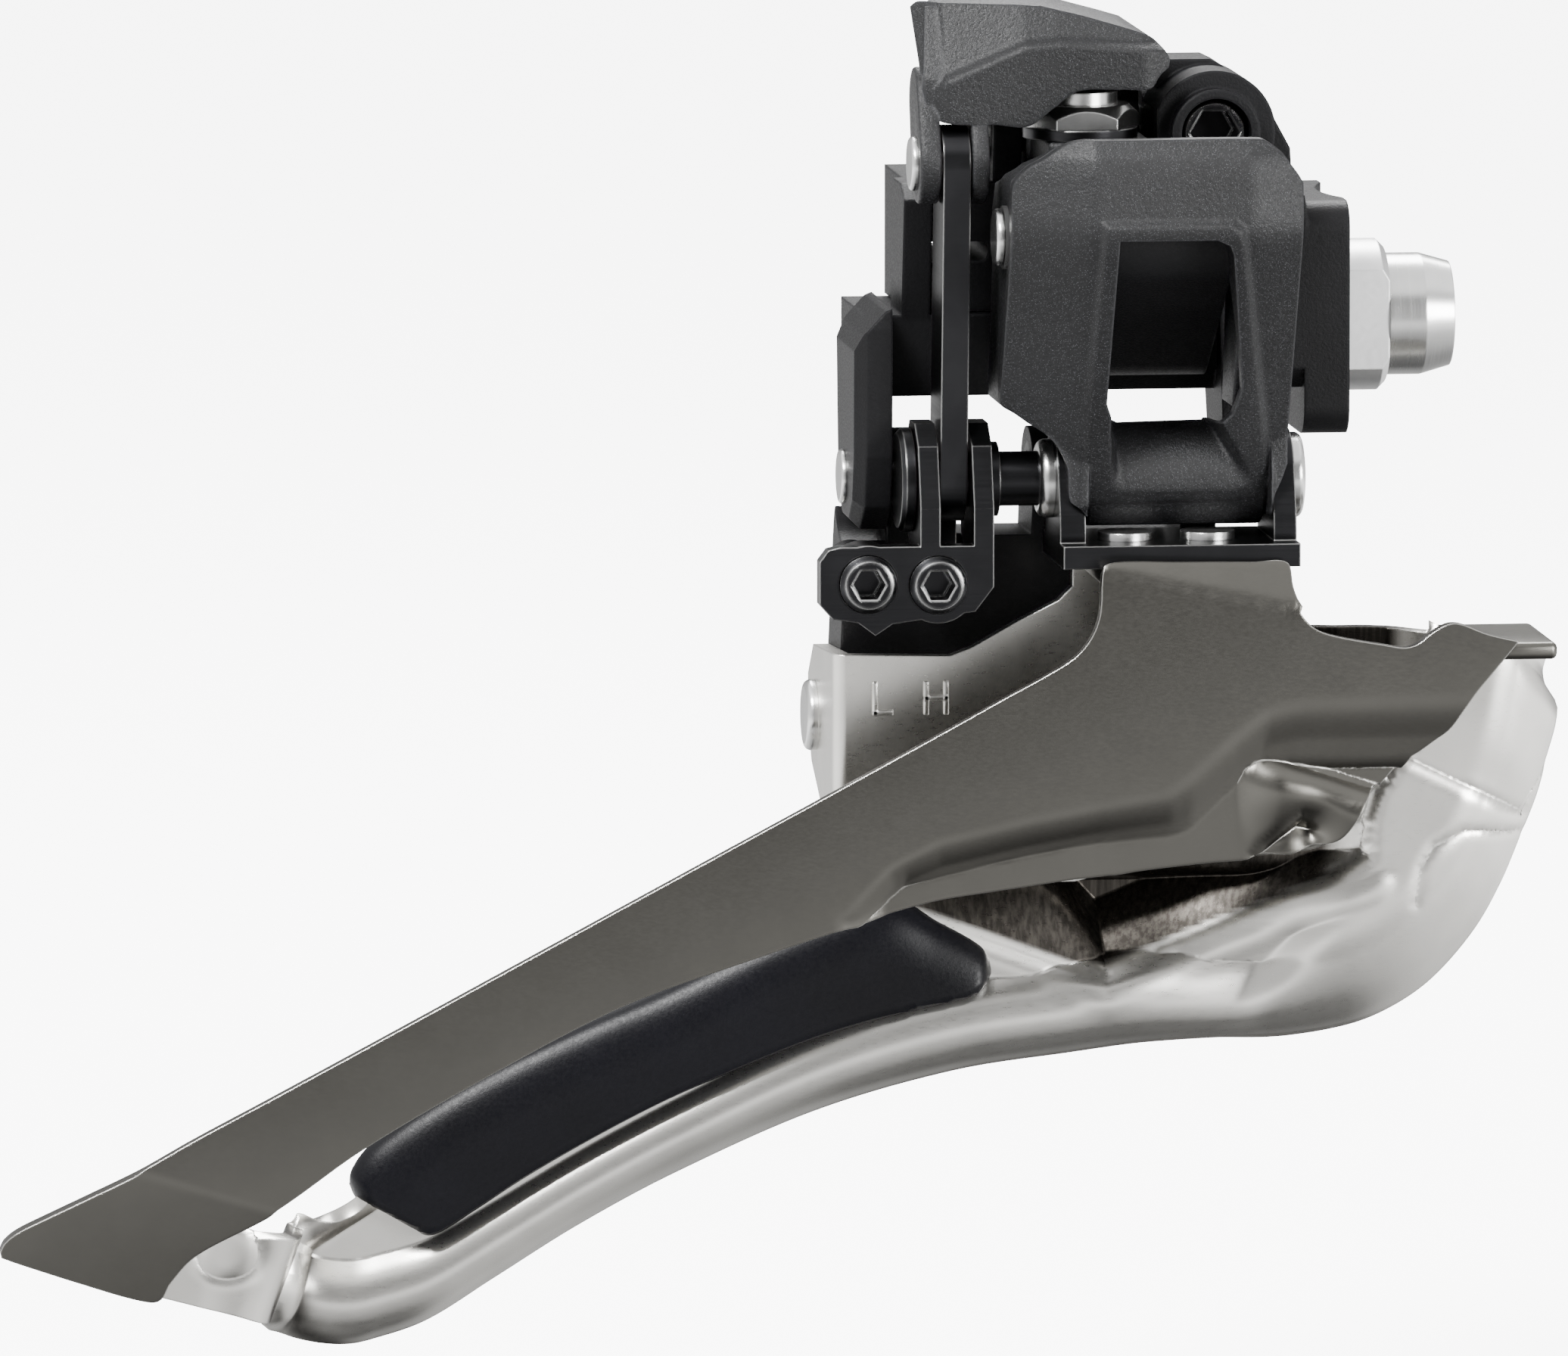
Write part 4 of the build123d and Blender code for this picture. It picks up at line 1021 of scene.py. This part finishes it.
def make_world():
    """Studio surroundings: white to the camera, banded light in reflections."""
    world = bpy.data.worlds.new("Studio")
    world.use_nodes = True
    tree = world.node_tree
    background = tree.nodes["Background"]
    coords = node(tree, "ShaderNodeTexCoord", (-900, 0))
    axes = node(tree, "ShaderNodeSeparateXYZ", (-700, 0))
    tree.links.new(coords.outputs["Generated"], axes.inputs["Vector"])
    rise = spread(tree, axes.outputs["Z"], 0.0, 1.0, (-500, 0), (-1.0, 1.0))
    turn = spread(tree, axes.outputs["X"], 0.0, 1.0, (-500, -300), (-1.0, 1.0))
    bands = node(tree, "ShaderNodeValToRGB", (-300, 0))
    sides = node(tree, "ShaderNodeValToRGB", (-300, -300))
    for ramp, stops in ((bands, ELEVATION_LIGHT), (sides, SIDE_LIGHT)):
        ramp.color_ramp.interpolation = "EASE"
        for index, (place, level) in enumerate(stops):
            point = ramp.color_ramp.elements[index] if index < 2 else ramp.color_ramp.elements.new(place)
            point.position = place
            point.color = (level, level, level, 1)
    tree.links.new(rise, bands.inputs["Fac"])
    tree.links.new(turn, sides.inputs["Fac"])
    total = node(tree, "ShaderNodeMix", (0, -100), data_type="RGBA", blend_type="ADD")
    total.inputs["Factor"].default_value = 1.0
    tree.links.new(bands.outputs["Color"], total.inputs[6])
    tree.links.new(sides.outputs["Color"], total.inputs[7])
    rays = node(tree, "ShaderNodeLightPath", (0, 300))
    shown = blended(tree, rays.outputs["Is Camera Ray"], total.outputs[2], (4, 4, 4), (200, 0))
    tree.links.new(shown, background.inputs["Color"])
    background.inputs["Strength"].default_value = 1.6
    bpy.context.scene.world = world


def make_stage():
    """Pale floor, soft lights and the camera."""
    low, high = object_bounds()
    deselect()
    bpy.ops.mesh.primitive_plane_add(size=1, location=(0, 0, low.z - FLOOR_GAP))
    floor = named("stage_floor")
    floor.scale = (FLOOR_SIZE, FLOOR_SIZE, 1)
    settle(floor)
    material, tree, shader = blank("PaleFloor")
    shader.inputs["Base Color"].default_value = (0.9, 0.9, 0.9, 1)
    shader.inputs["Roughness"].default_value = 0.8
    shader.inputs["Emission Color"].default_value = (1, 1, 1, 1)
    rays = node(tree, "ShaderNodeLightPath", (-600, -300))
    glow = spread(tree, rays.outputs["Is Camera Ray"], 0.3, 6.0, (-300, -300))
    tree.links.new(glow, shader.inputs["Emission Strength"])
    floor.data.materials.append(material)
    floor.visible_glossy = False
    floor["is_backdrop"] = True
    make_world()

    centre = (low + high) / 2
    for name, offset, size, power in LAMPS:
        deselect()
        bpy.ops.object.light_add(type="AREA", location=centre + Vector(offset))
        lamp = bpy.context.object
        lamp.name = name
        lamp.data.size = size
        lamp.data.energy = power
        lamp.rotation_euler = (-Vector(offset)).to_track_quat("-Z", "Y").to_euler()

    right, up, back = VIEW_MIDDLE
    middle = VIEW_RIGHT * right + VIEW_UP * up + VIEW_BACK * back
    deselect()
    bpy.ops.object.camera_add(location=middle + VIEW_BACK * CAMERA_DISTANCE)
    camera = bpy.context.object
    camera.name = "main_camera"
    camera.rotation_euler = VIEW_BACK.to_track_quat("Z", "Y").to_euler()
    camera.data.lens = LENS
    camera.data.sensor_width = SENSOR_WIDTH
    camera.data.clip_end = 20
    bpy.context.scene.camera = camera


# ---- operators -----------------------------------------------------------------------------------
class DERAILLEUR_OT_finishes(bpy.types.Operator):
    """Makes the finishes and gives the frame's pieces theirs"""

    bl_idname = "derailleur.finishes"
    bl_label = "Finishes"

    def execute(self, context):
        make_finishes()
        finish_nodes()
        return {"FINISHED"}


class DERAILLEUR_OT_outer_plate(bpy.types.Operator):
    """Makes the outer cage plate"""

    bl_idname = "derailleur.outer_plate"
    bl_label = "Outer Plate"

    def execute(self, context):
        make_outer_plate()
        return {"FINISHED"}


class DERAILLEUR_OT_inner_plate(bpy.types.Operator):
    """Makes the inner cage plate"""

    bl_idname = "derailleur.inner_plate"
    bl_label = "Inner Plate"

    def execute(self, context):
        make_inner_plate()
        return {"FINISHED"}


class DERAILLEUR_OT_skid_pad(bpy.types.Operator):
    """Makes the skid pad"""

    bl_idname = "derailleur.skid_pad"
    bl_label = "Skid Pad"

    def execute(self, context):
        make_skid_pad()
        return {"FINISHED"}


class DERAILLEUR_OT_outer_link(bpy.types.Operator):
    """Makes the outer link"""

    bl_idname = "derailleur.outer_link"
    bl_label = "Outer Link"

    def execute(self, context):
        make_outer_link()
        return {"FINISHED"}


class DERAILLEUR_OT_toggle_lever(bpy.types.Operator):
    """Makes the toggle lever"""

    bl_idname = "derailleur.toggle_lever"
    bl_label = "Toggle Lever"

    def execute(self, context):
        make_toggle_lever()
        return {"FINISHED"}


class DERAILLEUR_OT_marks(bpy.types.Operator):
    """Makes the raised letters beside the limit screws"""

    bl_idname = "derailleur.marks"
    bl_label = "Limit Marks"

    def execute(self, context):
        make_marks()
        return {"FINISHED"}


class DERAILLEUR_OT_stage(bpy.types.Operator):
    """Makes the floor, lights and camera"""

    bl_idname = "derailleur.stage"
    bl_label = "Stage"

    def execute(self, context):
        make_stage()
        return {"FINISHED"}


OPERATORS = (DERAILLEUR_OT_finishes, DERAILLEUR_OT_outer_plate, DERAILLEUR_OT_inner_plate,
             DERAILLEUR_OT_skid_pad, DERAILLEUR_OT_outer_link, DERAILLEUR_OT_toggle_lever,
             DERAILLEUR_OT_marks, DERAILLEUR_OT_stage)


class DERAILLEUR_PT_maker(bpy.types.Panel):
    """Sidebar panel with the sizes, colours and steps"""

    bl_idname = "DERAILLEUR_PT_maker"
    bl_label = "Front Derailleur"
    bl_space_type = "VIEW_3D"
    bl_region_type = "UI"
    bl_category = "Derailleur"

    def draw(self, context):
        layout = self.layout
        for group in (context.scene.derailleur_cage, context.scene.derailleur_colours):
            box = layout.box()
            for key in group.__annotations__:
                box.prop(group, key)
        for operator in OPERATORS:
            layout.operator(operator.bl_idname)


CLASSES = (CageSizes, FinishColours, *OPERATORS, DERAILLEUR_PT_maker)


def register():
    """Registers the classes and their settings."""
    for made in CLASSES:
        bpy.utils.register_class(made)
    bpy.types.Scene.derailleur_cage = bpy.props.PointerProperty(type=CageSizes)
    bpy.types.Scene.derailleur_colours = bpy.props.PointerProperty(type=FinishColours)


def unregister():
    """Removes the classes and their settings."""
    del bpy.types.Scene.derailleur_cage
    del bpy.types.Scene.derailleur_colours
    for made in reversed(CLASSES):
        bpy.utils.unregister_class(made)


def main():
    """Builds everything."""
    register()
    bpy.ops.derailleur.finishes()
    bpy.ops.derailleur.outer_plate()
    bpy.ops.derailleur.inner_plate()
    bpy.ops.derailleur.skid_pad()
    bpy.ops.derailleur.outer_link()
    bpy.ops.derailleur.toggle_lever()
    bpy.ops.derailleur.marks()
    bpy.ops.derailleur.stage()


if __name__ == "__main__":
    main()
